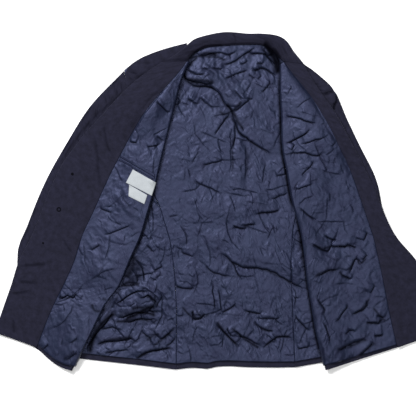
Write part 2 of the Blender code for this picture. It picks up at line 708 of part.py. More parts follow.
# Back, side bodies and sleeves lie on the surface, side by side.
half_seam = SEAM / 2
shell_flats = {
    "shell_back": drawn_in(back_flat(SHELL_ROWS), half_seam, half_seam),
    "shell_side_left": drawn_in(side_flat(LEFT_EDGE, LEFT_TURN, SHELL_ROWS, 4, 0), half_seam),
    "shell_side_right": drawn_in(side_flat(RIGHT_EDGE, RIGHT_TURN, SHELL_ROWS, 4, 0), half_seam),
}
shells = {name: lay(pile, flat, WOOL, 0, add=False) for name, flat in shell_flats.items()}
sleeves = [
    sleeve("sleeve_left", LEFT_SLEEVE, SLEEVE_LEFT_FOLDS),
    sleeve("sleeve_right", RIGHT_SLEEVE, SLEEVE_RIGHT_FOLDS),
]
for name, points in shells.items():
    cloth_piece(name, points, WOOL, "navy_wool")
    pile.add(points, WOOL)
for points in sleeves:
    pile.add(points, WOOL, closed=True)

# The hems are turned up on the shells, and the lining ends part of the way down them.
for shell, flat in shell_flats.items():
    edge, above = flat[-1], flat[-2]
    strip = mix(edge + unit(above - edge) * HEM_DEPTH, edge, (0.0, 0.5, 1.0)).transpose(1, 0, 2)
    points = lay(pile, strip, WOOL, 0, slack=0)
    cloth_piece(shell.replace("shell", "hem"), points, WOOL, "navy_wool")

left_side = side_flat(LEFT_EDGE, LEFT_TURN, BACK_ROWS, 6, LINING_STOPS)
right_side = side_flat(RIGHT_EDGE, RIGHT_TURN, BACK_ROWS, 4, LINING_STOPS)
lining_flats = {
    "lining_back": drawn_in(back_flat(BACK_ROWS), half_seam, half_seam, 0, BACK_HEM_SHOWS),
    "lining_side_left": drawn_in(left_side, half_seam, 0, 0, BACK_HEM_SHOWS),
    "lining_side_right": drawn_in(right_side, half_seam, 0, 0, BACK_HEM_SHOWS),
}
linings = {
    name: lay(pile, flat, SATIN, LINING_LOFT + folds_at(flat, BACK_FOLDS), add=False)
    for name, flat in lining_flats.items()
}
for name, points in linings.items():
    cloth_piece(name, points, SATIN, "navy_satin")
    pile.add(points, SATIN)

# Each front goes back over its side body, out under the lapel, and in over both.
lining_unders = [lay(pile, front.under(SATIN, 0, LINING_STOPS), SATIN, UNDER_LOFT) for front in fronts]
shell_unders = [lay(pile, front.under(WOOL, TUCK, 0), WOOL, UNDER_LOFT) for front in fronts]
for name, x, y in BUTTONS:
    button(name, x, y, pile)
facing_lapels = [lay(pile, front.lapel_limb(WOOL, 0, 0), WOOL, UNDER_LOFT) for front in fronts]
shell_lapels = [lay(pile, front.lapel_limb(WOOL, TUCK, TUCK), WOOL, UNDER_LOFT) for front in fronts]
shell_uppers = []
for front in fronts:
    flat = front.upper(WOOL, TUCK, front.SHELL_OUTER_SHARES, front.SHELL_INNER_SHARES)
    shell_uppers.append(lay(pile, flat, WOOL, SHELL_LOFT, add=False, reach=5))
for front, lapel, upper, under in zip(fronts, shell_lapels, shell_uppers, shell_unders):
    points = front.rolled(lapel, upper, under, WOOL, TUCK)
    cloth_piece("shell_front_" + front.side, points, WOOL, "navy_wool")
    pile.add(points, WOOL)
    hem, above = upper[-1, 2:, :2], upper[-2, 2:, :2]
    top = hem + unit(above - hem) * HEM_DEPTH * FRONT_HEM_SHARE
    flat = mix(top, hem, (0.0, 1.0)).transpose(1, 0, 2)
    strip = lay(pile, drawn_in(flat, 1.0, 0.0), WOOL, 0, slack=0)
    cloth_piece("hem_front_" + front.side, strip, WOOL, "navy_wool")

insides = []
for front in fronts:
    flat = front.upper(WOOL, 0, front.FACING_SHARES, front.lining_shares)
    facing_columns = len(front.FACING_SHARES)
    columns = np.arange(flat.shape[1])
    puff = np.interp(columns, (facing_columns - 1, facing_columns + 1), (FACING_LOFT, LINING_LOFT))
    loft = puff + folds_at(flat, front.folds)
    insides.append(lay(pile, flat, WOOL, loft, add=False, reach=5))

# The collar's stand shows, from its roll down to the neck seam.
stand_flat = np.concatenate([
    roll_start[:, None],
    (roll_start + collar_in * BEND * 0.3)[:, None],
    mix(roll_end, collar_seam, (0.0, 0.5, 1.0)),
], axis=1)
stand = lay(pile, stand_flat, WOOL, collar_borne + np.array([STAND_LOFT]), add=False)
cloth_piece("collar_stand", stand, WOOL, "navy_wool")
fall[:, -1, 2] = np.maximum(stand[FALL_FIRST_ROW:FALL_LAST_ROW, 0, 2] - WOOL - SEAM, WOOL / 2)
cloth_piece("collar_fall", fall, WOOL, "navy_wool")

for front, lapel, upper, under in zip(fronts, facing_lapels, insides, lining_unders):
    points = front.rolled(lapel, upper, under, WOOL, 0)
    cut = len(front.LAPEL_SHARES) + len(ROLL_TURNS) + len(front.FACING_SHARES) - 1
    facing = drawn_in(points[:, :cut + 1], 0, half_seam)
    lining = drawn_in(points[:, cut:], half_seam, 0, 0, FRONT_HEM_SHOWS)
    cloth_piece("facing_" + front.side, facing, WOOL, "navy_wool")
    cloth_piece("lining_front_" + front.side, lining, SATIN, "navy_satin")
    pile.add(facing, WOOL)
    pile.add(lining, SATIN)

# The pocket's lips and the label follow the lining of the front at the left, with no loft of their own.
for table, columns, rows, cloth in ON_LINING:
    for name, *corners in table:
        top_left, top_right, low_left, low_right = np.array(corners, float)
        left_end = mix(top_left[None], low_left[None], np.linspace(0, 1, rows))[0]
        right_end = mix(top_right[None], low_right[None], np.linspace(0, 1, rows))[0]
        flat = mix(left_end, right_end, np.linspace(0, 1, columns))
        points = lay(pile, flat, SATIN, -LINING_LOFT, add=name == "label", reach=0, slack=0)
        cloth_piece(name, points, SATIN, cloth)

# The frame's origin is the middle of the jacket's base.
bpy.context.view_layer.update()
pieces = [piece for piece in jacket.objects if piece.type == "MESH"]
corners = np.array([piece.matrix_world @ Vector(corner) for piece in pieces for corner in piece.bound_box])
middle = (corners.min(axis=0) + corners.max(axis=0)) / 2
frame.location = (-middle[0], -middle[1], 0)
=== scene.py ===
"""Looks of the dress jacket laid open on its back: crumpled satin lining, wool cloth, studio light.

Lengths are in millimetres until a mesh is made. Every cloth follows the faces of its CAD solid and
gets its creases on top. +X is to the right of the picture, +Y to the collar and +Z to the camera.
"""

import math

import bmesh
import bpy
import numpy as np
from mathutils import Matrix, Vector
from mathutils.bvhtree import BVHTree


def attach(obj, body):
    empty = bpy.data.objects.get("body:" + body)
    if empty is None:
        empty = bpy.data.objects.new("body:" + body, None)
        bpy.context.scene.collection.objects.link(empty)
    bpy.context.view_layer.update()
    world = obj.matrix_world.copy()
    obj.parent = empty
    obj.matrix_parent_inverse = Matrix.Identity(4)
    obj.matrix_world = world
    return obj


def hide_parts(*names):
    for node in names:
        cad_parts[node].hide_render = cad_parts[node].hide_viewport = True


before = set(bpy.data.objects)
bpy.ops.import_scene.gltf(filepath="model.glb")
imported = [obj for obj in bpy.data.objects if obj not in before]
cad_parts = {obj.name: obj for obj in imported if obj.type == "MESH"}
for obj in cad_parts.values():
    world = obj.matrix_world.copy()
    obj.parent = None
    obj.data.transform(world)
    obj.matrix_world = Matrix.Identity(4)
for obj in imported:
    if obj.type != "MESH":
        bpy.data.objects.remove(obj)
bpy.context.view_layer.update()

MM = 0.001
SHIFT_Y = -0.25  # from the tables' middle to the frame's
ROLL = 3.75  # how far a rolled edge's round reaches in from its rim
RIM = 0.05  # how far in from a rim its height is read
SEAM_GAP = 0.15  # half of the gap between two pieces at a seam
FRONT_ROWS, FACING_COLUMNS, LINING_COLUMNS = 132, 18, 34
BACK_ROWS, BACK_COLUMNS = 128, 86
SLEEVE_ROWS, SLEEVE_COLUMNS = 170, 44
COLLAR_ROWS, COLLAR_COLUMNS = 150, 14
DENSER = 3  # a lining's points for each step of its first grid
SMOOTHING = 16  # passes that turn a solid's facets into soft cloth
BACK_HEM_SHOWS = 14.0  # strip of the back's hem that the lining leaves bare
HEM_EASES = 40  # rows over which the lining is drawn up to it
LINING_STOPS = 8.0  # how far a lining ends before the front's turn
HEM_ROWS_CUT = 3  # dense rows by which a front's lining stops above its hem
SIDE_STARTS = 30.0  # how far below the underarm a side's lining starts
LINING_CLEARS = 1.5  # height of the back's lining over the faces under it
FRONT_CLEARS = 1.35  # the same for the facings and linings of the fronts
SATIN_EDGE, WOOL_EDGE = 0.9, 1.0  # how far the cut edges of a cloth turn down
LEAST_LAPEL = 3.5
SLEEVE_LOWEST = 3.6  # least height of a sleeve's upper face
COLLAR_DEEP = 1.4  # height of the collar over what it lies on, and how far its edges turn down
COLLAR_LAPS = 3.0  # how far the collar's seam lies over the lining
COLLAR_PAINTED_SHADE = 0.45  # how far the collar's seam lies in the shade of its roll
GORGE_BLENDS = 14  # rows in which the collar comes level with the facings

# A crease in shares of its height: its raised side, its lowered side and its trough.
LIP, SUNK, TROUGH = 0.75, 0.25, 0.45
# The same in half widths: its reach, and the place and width of its step, its lip and its slit, where shade
# is painted dark.
SLOPE = 8
STEP_AT, STEP_WIDE = 0.6, 0.3
LIP_AT, LIP_WIDE = 1.2, 0.9
PAINTED_SLIT_AT, PAINTED_SLIT_WIDE = 0.7, 0.92
PAINTED_SLIT_FULL_AT = 3.8  # height of a crease that hides its trough from all light
# Sizes of the facets of crumpled cloth, and of the patches in which they are higher or lower.
COARSE_FACET, FINE_FACET, FINEST_FACET, FACET_PATCH = 32, 15, 7.5, 95
# The back and its sides share these, so that their creases run on over the seams.
BACK_FACET_SEED, BACK_CREASE_SEED = 51, 52
# Least sizes of a sheet's worked-out cut: metres a side, and a share of its box.
LEAST_SIDE, LEAST_AREA = 0.0102, 0.301

FRONT_FIELDS = (
    "edge_x", "edge_y", "seam_x", "seam_y", "fold_x", "fold_y", "turn_x", "turn_y", "lapel", "sag",
)
LEFT_FRONT = (
    (-126, 318.5, -69, 320, -62, 318, -69, 363.5, 20, 0),
    (-161, 295, -86, 297, -72, 299, -119, 350, 50, 0),
    (-198, 265, -113, 265, -83, 270, -166, 333, 74, 0),
    (-235, 228, -143, 231, -92, 233, -212, 300, 80, 0),
    (-269, 192, -170, 196, -102, 196, -202, 240, 76, 0),
    (-301, 158, -195, 155, -112, 157, -193, 185, 62, 0),
    (-331, 120, -218, 113, -122, 116, -184, 129, 40, 0),
    (-359, 79, -241, 70, -132, 74, -175, 77, 14, 0),
    (-383, 28, -264, 21, -144, 21, -189, 21, 4, 0),
    (-404, -25, -286, -29, -158, -27, -202, -32, 4, 0),
    (-425, -78, -309, -78, -174, -80, -218, -84, 4, 0),
    (-453, -133, -329, -140, -198, -133, -237, -140, 4, 0),
    (-471, -188, -353, -193, -223, -193, -258, -190, 4, 0),
    (-485, -227, -370, -227, -253, -232, -271, -225, 4, 0),
    (-499, -268, -390, -273, -281, -289, -297, -278, 4, 3),
    (-508, -301, -414, -335, -329, -390, -334, -357, 4, 12),
)
RIGHT_FRONT = (
    (198, 313, 154, 319, 143, 312, 186, 323, 20, 0),
    (215, 284, 170, 295, 143, 284, 216, 304, 45, 0),
    (233, 256, 193, 267, 143, 251, 244, 280, 62, 0),
    (253, 227, 217, 235, 145, 217, 274, 247, 70, 0),
    (273, 198, 239, 200, 147, 180, 260, 203, 68, 0),
    (292, 164, 260, 164, 147, 143, 246, 159, 60, 0),
    (312, 127, 278, 127, 151, 106, 232, 116, 52, 0),
    (331, 93, 297, 90, 158, 72, 218, 72, 44, 0),
    (350, 54, 312, 54, 164, 35, 205, 31, 34, 0),
    (370, 10, 328, 8, 172, -4, 207, -9, 22, 0),
    (388, -38, 343, -36, 184, -45, 212, -50, 10, 0),
    (412, -82, 358, -80, 194, -89, 216, -94, 4, 0),
    (451, -127, 370, -130, 200, -137, 223, -142, 4, 0),
    (483, -172, 381, -181, 206, -188, 230, -193, 4, 0),
    (500, -220, 391, -232, 215, -241, 238, -245, 4, 0),
    (507, -264, 401, -280, 224, -294, 248, -301, 4, 1),
    (508, -303, 414, -335, 245, -387, 262, -365, 4, 1),
)
# A sleeve from its armhole to its cuff: outer edge and inner edge.
LEFT_SLEEVE = (
    (-213.8, 300.6, -175.8, 76),
    (-290, 221, -212, 19),
    (-345, 135, -238, -45),
    (-394, 47, -261, -110),
    (-435, -52, -282, -170),
    (-459, -128, -300, -227),
    (-444, -268, -315, -285),
)
RIGHT_SLEEVE = (
    (274.8, 247.6, 205.8, 31),
    (299, 189, 212, -13),
    (331, 123, 217, -61),
    (364, 56, 224, -117),
    (379, -9, 232, -174),
    (393, -112, 241, -234),
    (405, -298, 258, -303),
)

# The collar from the left gorge to the right: folded edge, neck seam, and how high it is borne.
COLLAR = (
    (-126.1, 319.4, -69.1, 320.9, 5),
    (-107, 328.5, -65, 330, 4),
    (-87, 343, -56, 341, 2),
    (-66, 361, -42, 348.5, 1),
    (-50, 373.5, -30, 354.5, 1),
    (-21, 382.5, -14, 358, 1),
    (12, 388.5, 12, 360.5, 1),
    (39, 388.5, 39, 361.5, 1),
    (71, 385.5, 71, 362.5, 1),
    (103, 385.5, 101, 362, 1),
    (138, 381, 122, 353, 1),
    (160, 368, 136, 341, 2),
    (178, 341, 146, 330, 3),
    (198.1, 313.9, 154.1, 319.9, 4),
)

# The back's edges: across the shoulders and neck, down the two sides, and along the hem.
NECK = (
    (-213, 301), (-191, 319.5), (-168, 333), (-138, 343.5), (-108, 350), (-83, 349), (-66, 333),
    (-56, 340.5), (-43, 347.7), (-18, 356), (12, 359.5), (39, 360.5), (71, 361.5), (100, 361), (121, 352.5),
    (135, 340), (145, 329), (158, 324), (186, 324), (218, 303), (245, 277), (274, 247),
)
HEM = (
    (-93, -386), (-57, -382), (-21, -385), (-2, -380), (25, -378.5), (71, -381), (132, -382), (179, -381),
)
# The sides of the back: down the armhole, then down the seam with the side body.
LEFT_EDGE = (
    (-213, 301), (-194.2, 185), (-175, 77), (-154, 37), (-131, -13), (-108, -89), (-97, -170), (-93, -250),
    (-93, -386),
)
RIGHT_EDGE = (
    (274, 247), (239, 139), (205, 31), (186, -9), (174, -66), (170, -140), (172, -204), (175, -285),
    (179, -381),
)
# The outer edge of each side body, from the underarm to the hem, where the front turns back over it.
LEFT_TURN = (
    (-175, 77), (-189, 21), (-202, -32), (-218, -84), (-237, -140), (-258, -190), (-271, -225),
    (-297, -278), (-334, -359),
)
RIGHT_TURN = (
    (205, 31), (207, -9), (212, -50), (216, -94), (223, -142), (230, -193), (238, -245), (248, -301),
    (262, -367),
)

# The inner breast pocket's lips, each with its upper and its lower edge.
POCKET_JETS = (
    ("pocket_jet_upper", (-220, 108), (-141, 62), (-222, 101.3), (-142.2, 56)),
    ("pocket_jet_lower", (-222.2, 100.7), (-142.4, 55.4), (-224, 94), (-143.4, 50)),
)
# Label corners: top left, top right, bottom left, bottom right.
LABELS = (
    ("label", (-192, 73), (-139, 43), (-208, 43), (-149, 13)),
    ("label_tag", (-200.5, 38.5), (-159, 14.5), (-202, 12), (-166, -6)),
)

# Marked creases: height of the lip, half width of the trough, then x and y of each point of its line.
BACK_MARKED = (
    (2.1, 4.2, 30, 169, 32, 118, 30, 56),
    (2.1, 4.2, 66, 134, 67, 95, 66, 47),
    (2.7, 2.0, -12, -183, -9, -220, -5, -253),
    (2.7, 2.0, 2, -199, 9, -257),
    (5.6, 2.9, -80, 277, -52, 267, -21, 265, 2, 255, 10, 242, 23, 220, 34, 205),
    (5.6, 2.7, 28, 217, 39, 192, 51, 164, 72, 144, 97, 128, 131, 106),
    (4.0, 2.4, 34, 205, 12, 182, -7, 150),
    (4.0, 2.2, 37, 203, 60, 224, 80, 238),
    (3.6, 2.0, 39, 196, 41, 159, 32, 113),
    (4.0, 2.4, 9, 309, 51, 331, 90, 357),
    (4.4, 2.4, 69, 339, 105, 341, 129, 332),
    (4.0, 2.2, 78, 305, 103, 307, 120, 301, 136, 286),
    (4.8, 2.5, 103, 357, 117, 334, 133, 311),
    (3.6, 2.0, 14, 281, 51, 297, 74, 302),
    (3.6, 2.2, -48, 332, 2, 343, 25, 338, 53, 346),
    (5.2, 2.9, -62, 323, -74, 286, -39, 274, 0, 270),
    (4.0, 2.2, -71, 307, -48, 293, -25, 293),
    (3.2, 2.0, -97, 221, -83, 234),
    (3.2, 2.0, -71, 236, -39, 224),
    (3.2, 2.0, -39, 240, -5, 212),
    (3.6, 2.2, -55, 51, -28, 37, -9, 31, 10, 20),
    (3.6, 2.2, 85, -32, 97, -26, 124, -25, 147, -19),
    (3.6, 2.0, 34, -55, 53, -61, 71, -61),
    (3.2, 1.9, 55, -52, 91, -52),
    (5.2, 2.7, -2, -114, 36, -135, 62, -149, 94, -151, 125, -158, 146, -168, 171, -187, 207, -204),
    (3.6, 2.2, 16, -118, 38, -143, 57, -185),
    (3.6, 2.2, -31, -144, -4, -163, 32, -172),
    (4.0, 2.4, 9, -257, 46, -233),
    (4.4, 2.5, -56, -248, -52, -271, -25, -257),
    (4.4, 2.5, -6, -271, 21, -303, 55, -337),
    (4.0, 2.2, 23, -289, 38, -312),
    (4.8, 2.5, 38, -297, 71, -314, 101, -331),
    (4.4, 2.4, 105, -342, 117, -324, 146, -310, 175, -314),
    (3.6, 2.2, 84, -273, 105, -291, 131, -299),
    (3.6, 2.0, 60, -250, 105, -257),
    (3.6, 2.0, 87, -268, 148, -267),
    (3.6, 2.0, -36, 83, 15, 95),
    (3.2, 2.0, 121, 5, 165, 21),
    (3.2, 2.0, 133, 59, 161, 63),
    (4.0, 2.2, 177, -259, 213, -299),
    (4.0, 2.2, 182, -337, 214, -331),
    (3.0, 1.9, -34, 308, -25, 305, -18, 302),
    (3.0, 1.9, -13, 308, 2, 308, 14, 304),
    (3.2, 2.0, 51, 316, 64, 319, 71, 325),
    (3.4, 2.1, 90, 318, 99, 318, 108, 317),
    (3.6, 2.2, 76, 304, 90, 303, 101, 308, 117, 302),
    (2.6, 1.7, 92, 280, 99, 286, 103, 290),
    (2.6, 1.8, 71, 293, 80, 287, 87, 281),
    (3.0, 2.0, 39, 258, 53, 244, 60, 231),
    (2.6, 1.8, 67, 240, 76, 236, 83, 235),
    (2.8, 1.9, 99, 249, 113, 263, 124, 281),
    (3.0, 2.0, -39, 242, -28, 228, -21, 224),
    (2.6, 1.8, -69, 238, -60, 235, -51, 231),
)
SIDE_MARKED = (
    (3.4, 2.2, -193, -128, -175, -149, -166, -188),
    (3.0, 2.0, -198, -153, -186, -170, -182, -190),
    (5.2, 2.9, -179, -224, -158, -213, -140, -234),
    (5.6, 3.5, -230, -271, -202, -257, -179, -252, -154, -255),
    (5.2, 3.2, -237, -241, -214, -220, -179, -204, -150, -206),
    (5.2, 3.2, -218, -280, -177, -268, -136, -271),
    (4.9, 3.0, -235, -252, -292, -321, -294, -354),
    (5.6, 3.4, -279, -332, -253, -319, -223, -317, -190, -311),
    (5.2, 2.9, -190, -365, -166, -347, -134, -340, -106, -336),
    (4.2, 2.6, -134, -317, -102, -296),
    (4.2, 2.4, -117, -331, -92, -309),
    (4.2, 2.6, -100, -188, -79, -197, -49, -199),
    (3.5, 2.2, -85, -112, -53, -128),
    (3.5, 2.1, -147, -158, -124, -147),
    (3.5, 2.1, -162, -98, -145, -117),
    (3.8, 2.4, -260, -347, -228, -340, -200, -342),
    (3.8, 2.4, -269, -296, -241, -287, -218, -296),
    (3.5, 2.1, -177, -296, -154, -312, -147, -331),
)
LEFT_MARKED = (
    (3.4, 2.1, -140, 232, -105, 201),
    (3.4, 2.1, -201, 138, -182, 134),
    (3.4, 2.1, -162, 125, -132, 132),
    (3.0, 1.9, -138, 152, -120, 136),
    (3.0, 2.1, -271, -14, -239, -26),
    (3.0, 2.2, -262, -78, -209, -59, -195, -52),
    (3.0, 1.9, -290, -112, -267, -98),
    (4.5, 2.2, -366, -219, -358, -222, -341, -213, -331, -220, -320, -211),
    (3.4, 2.1, -347, -363, -316, -341),
    (3.0, 1.9, -400, -339, -386, -326),
    (3.0, 1.9, -337, -324, -318, -310),
)
RIGHT_MARKED = (
    (3.6, 2.2, 152, 194, 186, 192, 207, 183, 229, 178),
    (4.8, 2.7, 156, 129, 185, 148, 215, 164),
    (3.6, 2.2, 189, 129, 248, 148),
    (3.2, 2.0, 168, 117, 177, 132),
    (3.6, 2.2, 163, 102, 175, 111, 202, 111, 232, 105, 244, 117),
    (3.6, 2.0, 193, 58, 221, 94),
    (3.2, 2.0, 189, 47, 179, 28, 221, 40),
    (3.2, 2.4, 185, -13, 229, -43),
    (4.0, 2.2, 245, -75, 258, -84, 276, -88),
    (5.2, 2.4, 207, -94, 237, -106, 255, -111, 261, -98, 269, -102, 293, -103, 303, -98, 321, -111),
    (4.0, 2.2, 334, -91, 343, -68),
    (4.0, 2.4, 228, -172, 247, -160, 266, -155, 278, -160),
    (3.6, 2.2, 285, -168, 310, -178),
    (4.0, 2.2, 303, -167, 317, -128, 332, -145),
    (3.6, 2.2, 332, -134, 344, -120),
    (4.0, 2.2, 350, -211, 361, -190),
    (5.2, 2.7, 307, -262, 321, -253, 336, -244, 346, -225),
    (3.6, 2.2, 365, -259, 384, -267),
    (3.6, 2.0, 340, -277, 377, -279),
    (4.0, 2.2, 292, -305, 307, -292, 319, -300),
    (3.6, 2.2, 359, -308, 382, -305),
    (5.2, 2.5, 270, -344, 301, -327, 324, -317, 346, -316),
    (4.0, 2.2, 324, -354, 361, -319),
    (4.4, 2.4, 243, -275, 251, -301, 257, -324),
    (4.0, 2.4, 270, -277, 301, -232),
    (4.0, 2.4, 228, -222, 248, -256),
)
FACING_LEFT_MARKED = (
    (1.3, 3.0, -283, 162, -277, 113, -272, 49, -271, 26),
    (1.3, 3.0, -263, 182, -253, 129, -237, 95),
    (1.3, 3.0, -260, -9, -288, -55, -297, -101),
    (1.3, 2.5, -354, -81, -338, -107, -324, -119),
    (1.8, 2.5, -453, -147, -384, -142),
    (1.6, 2.5, -459, -181, -407, -188),
    (1.6, 2.5, -471, -211, -427, -204),
    (1.6, 2.5, -469, -266, -467, -305),
)
# Painted shade where the back and its sides lie in a slit or under a fold: half width, how far in (how
# dark), then x and y of each point.
BACK_PAINTED_CREVICE_SHADE = (
    (8.5, 1.0, 110, 362, 117, 348, 126, 334, 136, 320, 143, 307),
    (6.0, 0.9, 124, 353, 136, 341, 145, 325),
    (4.5, 0.95, -41, 334, -28, 340, -12, 339, 2, 334),
    (4.0, 0.9, -62, 311, -55, 323, -44, 332),
    (3.0, 0.8, -28, 330, -12, 332, 5, 330, 21, 323),
    (7.0, 1.0, 189, -61, 193, -89, 198, -117, 202, -144, 208, -174, 214, -206, 220, -236, 225, -268,
     230, -296),
    (3.0, 0.8, 91, -29, 109, -26, 145, -21),
    (3.0, 0.8, 35, -54, 52, -61, 65, -57, 86, -50),
    (2.6, 0.6, 47, -143, 83, -151, 114, -159, 145, -174, 169, -185, 200, -199),
    (3.4, 0.85, -2, -273, 21, -304, 47, -330),
    (3.2, 0.85, 31, -288, 57, -309, 91, -333, 103, -335),
    (3.0, 0.85, 109, -333, 135, -314, 156, -309, 169, -311),
    (3.0, 0.8, 99, -291, 113, -296, 130, -298),
    (3.6, 0.9, -57, -248, -53, -262, -44, -268, -25, -257),
    (2.4, 0.8, -80, -241, -67, -257, -51, -271),
    (2.4, 0.7, 62, -252, 78, -255, 99, -257),
    (6.5, 1.0, -214, -268, -198, -264, -179, -255, -161, -245, -138, -239),
    (3.6, 0.9, -237, -275, -216, -275, -191, -271, -168, -271, -152, -278),
    (9.0, 0.85, -191, -121, -191, -140, -198, -158, -209, -179),
    (5.5, 0.9, -218, -195, -205, -186, -189, -188, -175, -190),
    (4.5, 0.8, -154, -220, -145, -229, -136, -241),
    (5.0, 0.85, -269, -326, -241, -317, -209, -314, -191, -308),
    (4.0, 0.85, -184, -363, -168, -349, -145, -342, -113, -337),
    (4.0, 0.8, -136, -324, -117, -310, -101, -296),
    (4.0, 0.7, -163, -319, -145, -308, -131, -303),
    (6.0, 1.0, -228, -252, -246, -264, -262, -278, -276, -296, -285, -317, -291, -340, -292, -356),
    (5.0, 0.8, -283, -234, -274, -248, -255, -250),
    (4.4, 1.0, 143, 311, 144, 251, 145, 217, 146, 180, 147, 143, 150, 106, 157, 72, 163, 35, 171, -4,
     181, -36),
    (4.2, 1.0, 174, -13, 184, -45, 193, -89, 200, -137, 207, -188, 215, -241, 224, -294, 240, -370),
    (1.8, 0.2, -62, 320, -71, 300, -82, 270, -91, 233, -101, 196, -111, 157, -121, 116, -131, 74, -143,
     26),
    (3.2, 0.8, -137, 49, -144, 21, -157, -27, -173, -80, -197, -133, -222, -193),
    (3.0, 0.6, -218, -188, -232, -227, -258, -268, -276, -296, -290, -331, -297, -360),
    (11.0, 1.0, 101, 366, 117, 353, 129, 334, 138, 307, 140, 288),
    (8.0, 1.0, 113, 357, 129, 343, 140, 325, 143, 297),
    (4.0, 0.9, -67, 320, -53, 339, -32, 354, -7, 358, 21, 358),
    (3.0, 0.7, -2, 358, 53, 362, 94, 362, 122, 353),
    (4.0, 0.85, -71, 325, -48, 333, -21, 334, 7, 339),
    (5.0, 0.9, -76, 307, -75, 288, -62, 280, -34, 277, -2, 272),
    (4.0, 0.85, -76, 279, -46, 269, -21, 265, -2, 256),
    (5.0, 0.95, 21, 226, 34, 208, 44, 192),
    (3.4, 0.85, 34, 205, 48, 221, 57, 231),
    (3.4, 0.8, 32, 205, 16, 201, 5, 208),
    (4.0, 0.8, 39, 201, 48, 182, 60, 164),
    (13.0, 0.62, -193, -130, -182, -149, -182, -170, -205, -188),
    (4.5, 0.95, -223, -193, -205, -193, -186, -190),
    (4.5, 0.95, -216, -278, -198, -264, -175, -256, -154, -257, -138, -264),
    (4.0, 0.9, -200, -248, -177, -243, -156, -248, -140, -259),
    (9.0, 0.6, -228, -264, -195, -255, -159, -255),
    (3.4, 0.85, -163, -222, -154, -216, -145, -225, -138, -234),
    (3.6, 0.85, -276, -328, -251, -319, -223, -314, -191, -312),
    (3.4, 0.85, -189, -365, -159, -347, -131, -340, -101, -335),
    (3.0, 0.7, -150, -335, -124, -314, -94, -289),
    (3.0, 0.7, -48, -250, -34, -264, -16, -259),
)
# Painted shade in the hollows of the fronts' lining.
FRONT_PAINTED_CREVICE_SHADE = (
    (2.8, 0.8, -364, -216, -343, -221, -320, -211),
    (3.4, 0.8, -286, -231, -283, -243, -276, -250, -255, -250),
    (2.6, 0.7, -351, -361, -333, -348, -323, -337),
    (2.4, 0.5, -291, -107, -278, -103, -265, -99),
    (2.6, 0.6, -264, -220, -246, -227, -228, -218),
    (3.2, 0.8, 216, -99, 232, -104, 247, -107, 262, -102),
    (3.2, 0.85, 275, -102, 291, -103, 306, -102, 320, -107),
    (3.0, 0.75, 223, -176, 234, -164, 254, -159, 273, -156),
    (2.8, 0.75, 278, -159, 291, -172, 304, -174),
    (2.4, 0.7, 299, -159, 309, -146, 319, -130),
    (2.4, 0.7, 322, -133, 327, -143, 343, -128),
    (3.4, 0.85, 270, -338, 301, -333, 332, -320, 348, -316),
    (3.0, 0.8, 312, -257, 327, -250, 343, -231, 351, -221),
    (3.0, 0.85, 340, -278, 363, -278, 384, -268),
    (2.6, 0.8, 356, -242, 374, -262, 387, -275),
    (2.8, 0.8, 322, -354, 343, -340, 363, -322),
    (2.6, 0.8, 358, -307, 370, -308, 382, -307),
)
# Painted shade where the wool lies in a slit beside the left front's roll.
ROLL_PAINTED_CREVICE_SHADE = (
    (2.6, 0.6, -103, 338, -131, 320, -160, 301, -194, 267, -232, 235, -271, 204, -304, 169, -334, 129,
     -361, 83),
)
# Creases of the collar, with the seam at its middle first.
COLLAR_MARKED = (
    (1.6, 2.2, 34, 390, 40, 376, 46, 362),
    (1.4, 4.0, -58, 352, -30, 368, -4, 374),
    (1.4, 4.0, 84, 384, 116, 372, 140, 352),
    (1.2, 3.5, 100, 368, 124, 362),
    (1.4, 4.5, -100, 326, -72, 344, -52, 362),
    (1.2, 3.5, 148, 362, 166, 334),
)
# Cross creases of the shoulders, on the sleeves and on the wool that lies over them.
SLEEVE_LEFT_FOLDS = (
    (2.2, 2.0, -288, 221, -276, 210, -266, 196),
    (2.4, 2.0, -281, 207, -270, 190),
    (1.8, 2.0, -260, 242, -251, 221),
    (2.2, 2.0, -241, 270, -235, 256, -227, 242),
    (1.8, 2.0, -253, 251, -241, 233),
    (2.4, 2.2, -209, 290, -198, 274, -193, 256),
    (2.4, 2.2, -198, 300, -186, 286, -182, 270),
    (2.6, 2.2, -184, 286, -166, 297, -150, 307),
    (2.2, 2.2, -306, 182, -292, 178, -281, 171),
    (2.0, 2.2, -334, 148, -313, 141),
    (1.8, 2.2, -223, 274, -218, 251),
    (1.8, 2.2, -163, 325, -150, 311),
)
SLEEVE_RIGHT_FOLDS = (
    (3.2, 2.4, 237, 243, 251, 250, 267, 257),
    (3.2, 2.4, 258, 215, 267, 226, 276, 236),
    (2.0, 2.4, 218, 279, 232, 265, 241, 242),
    (2.2, 2.4, 278, 205, 292, 212),
    (1.8, 2.4, 292, 171, 306, 178),
    (1.8, 2.4, 200, 316, 212, 297),
)


# Thread that holds the buttons, seen on the facing: place, diameter and thickness of each mark.
THREAD_MARKS = ((-331, 63, 3.6, 1.5), (-362, -18, 8.0, 1.3), (-398, -95, 2.4, 1.2))


def spline(rows, count):
    """A table's rows, or a grid's, run smoothly through count rows."""
    rows = np.asarray(rows, float)
    padded = np.concatenate([2 * rows[:1] - rows[1:2], rows, 2 * rows[-1:] - rows[-2:-1]])
    place = np.linspace(0, len(rows) - 1, count)
    start = np.minimum(place.astype(int), len(rows) - 2)
    t = (place - start).reshape((-1,) + (1,) * (rows.ndim - 1))
    a, b, c, d = (padded[start + step] for step in range(4))
    cubic = (3 * b - a - 3 * c + d) * t**3
    return 0.5 * (2 * b + (c - a) * t + (2 * a - 5 * b + 4 * c - d) * t**2 + cubic)


def shares_of(line):
    """How far along its line each point is, from 0 to 1."""
    length = np.concatenate([[0], np.cumsum(np.hypot(*np.diff(np.array(line, float), axis=0).T))])
    return length / length[-1]


def along(line, count):
    """Count points at even distances along a line."""
    line = np.array(line, float)
    place = np.linspace(0, 1, count)
    return np.stack([np.interp(place, shares_of(line), line[:, axis]) for axis in (0, 1)], axis=1)


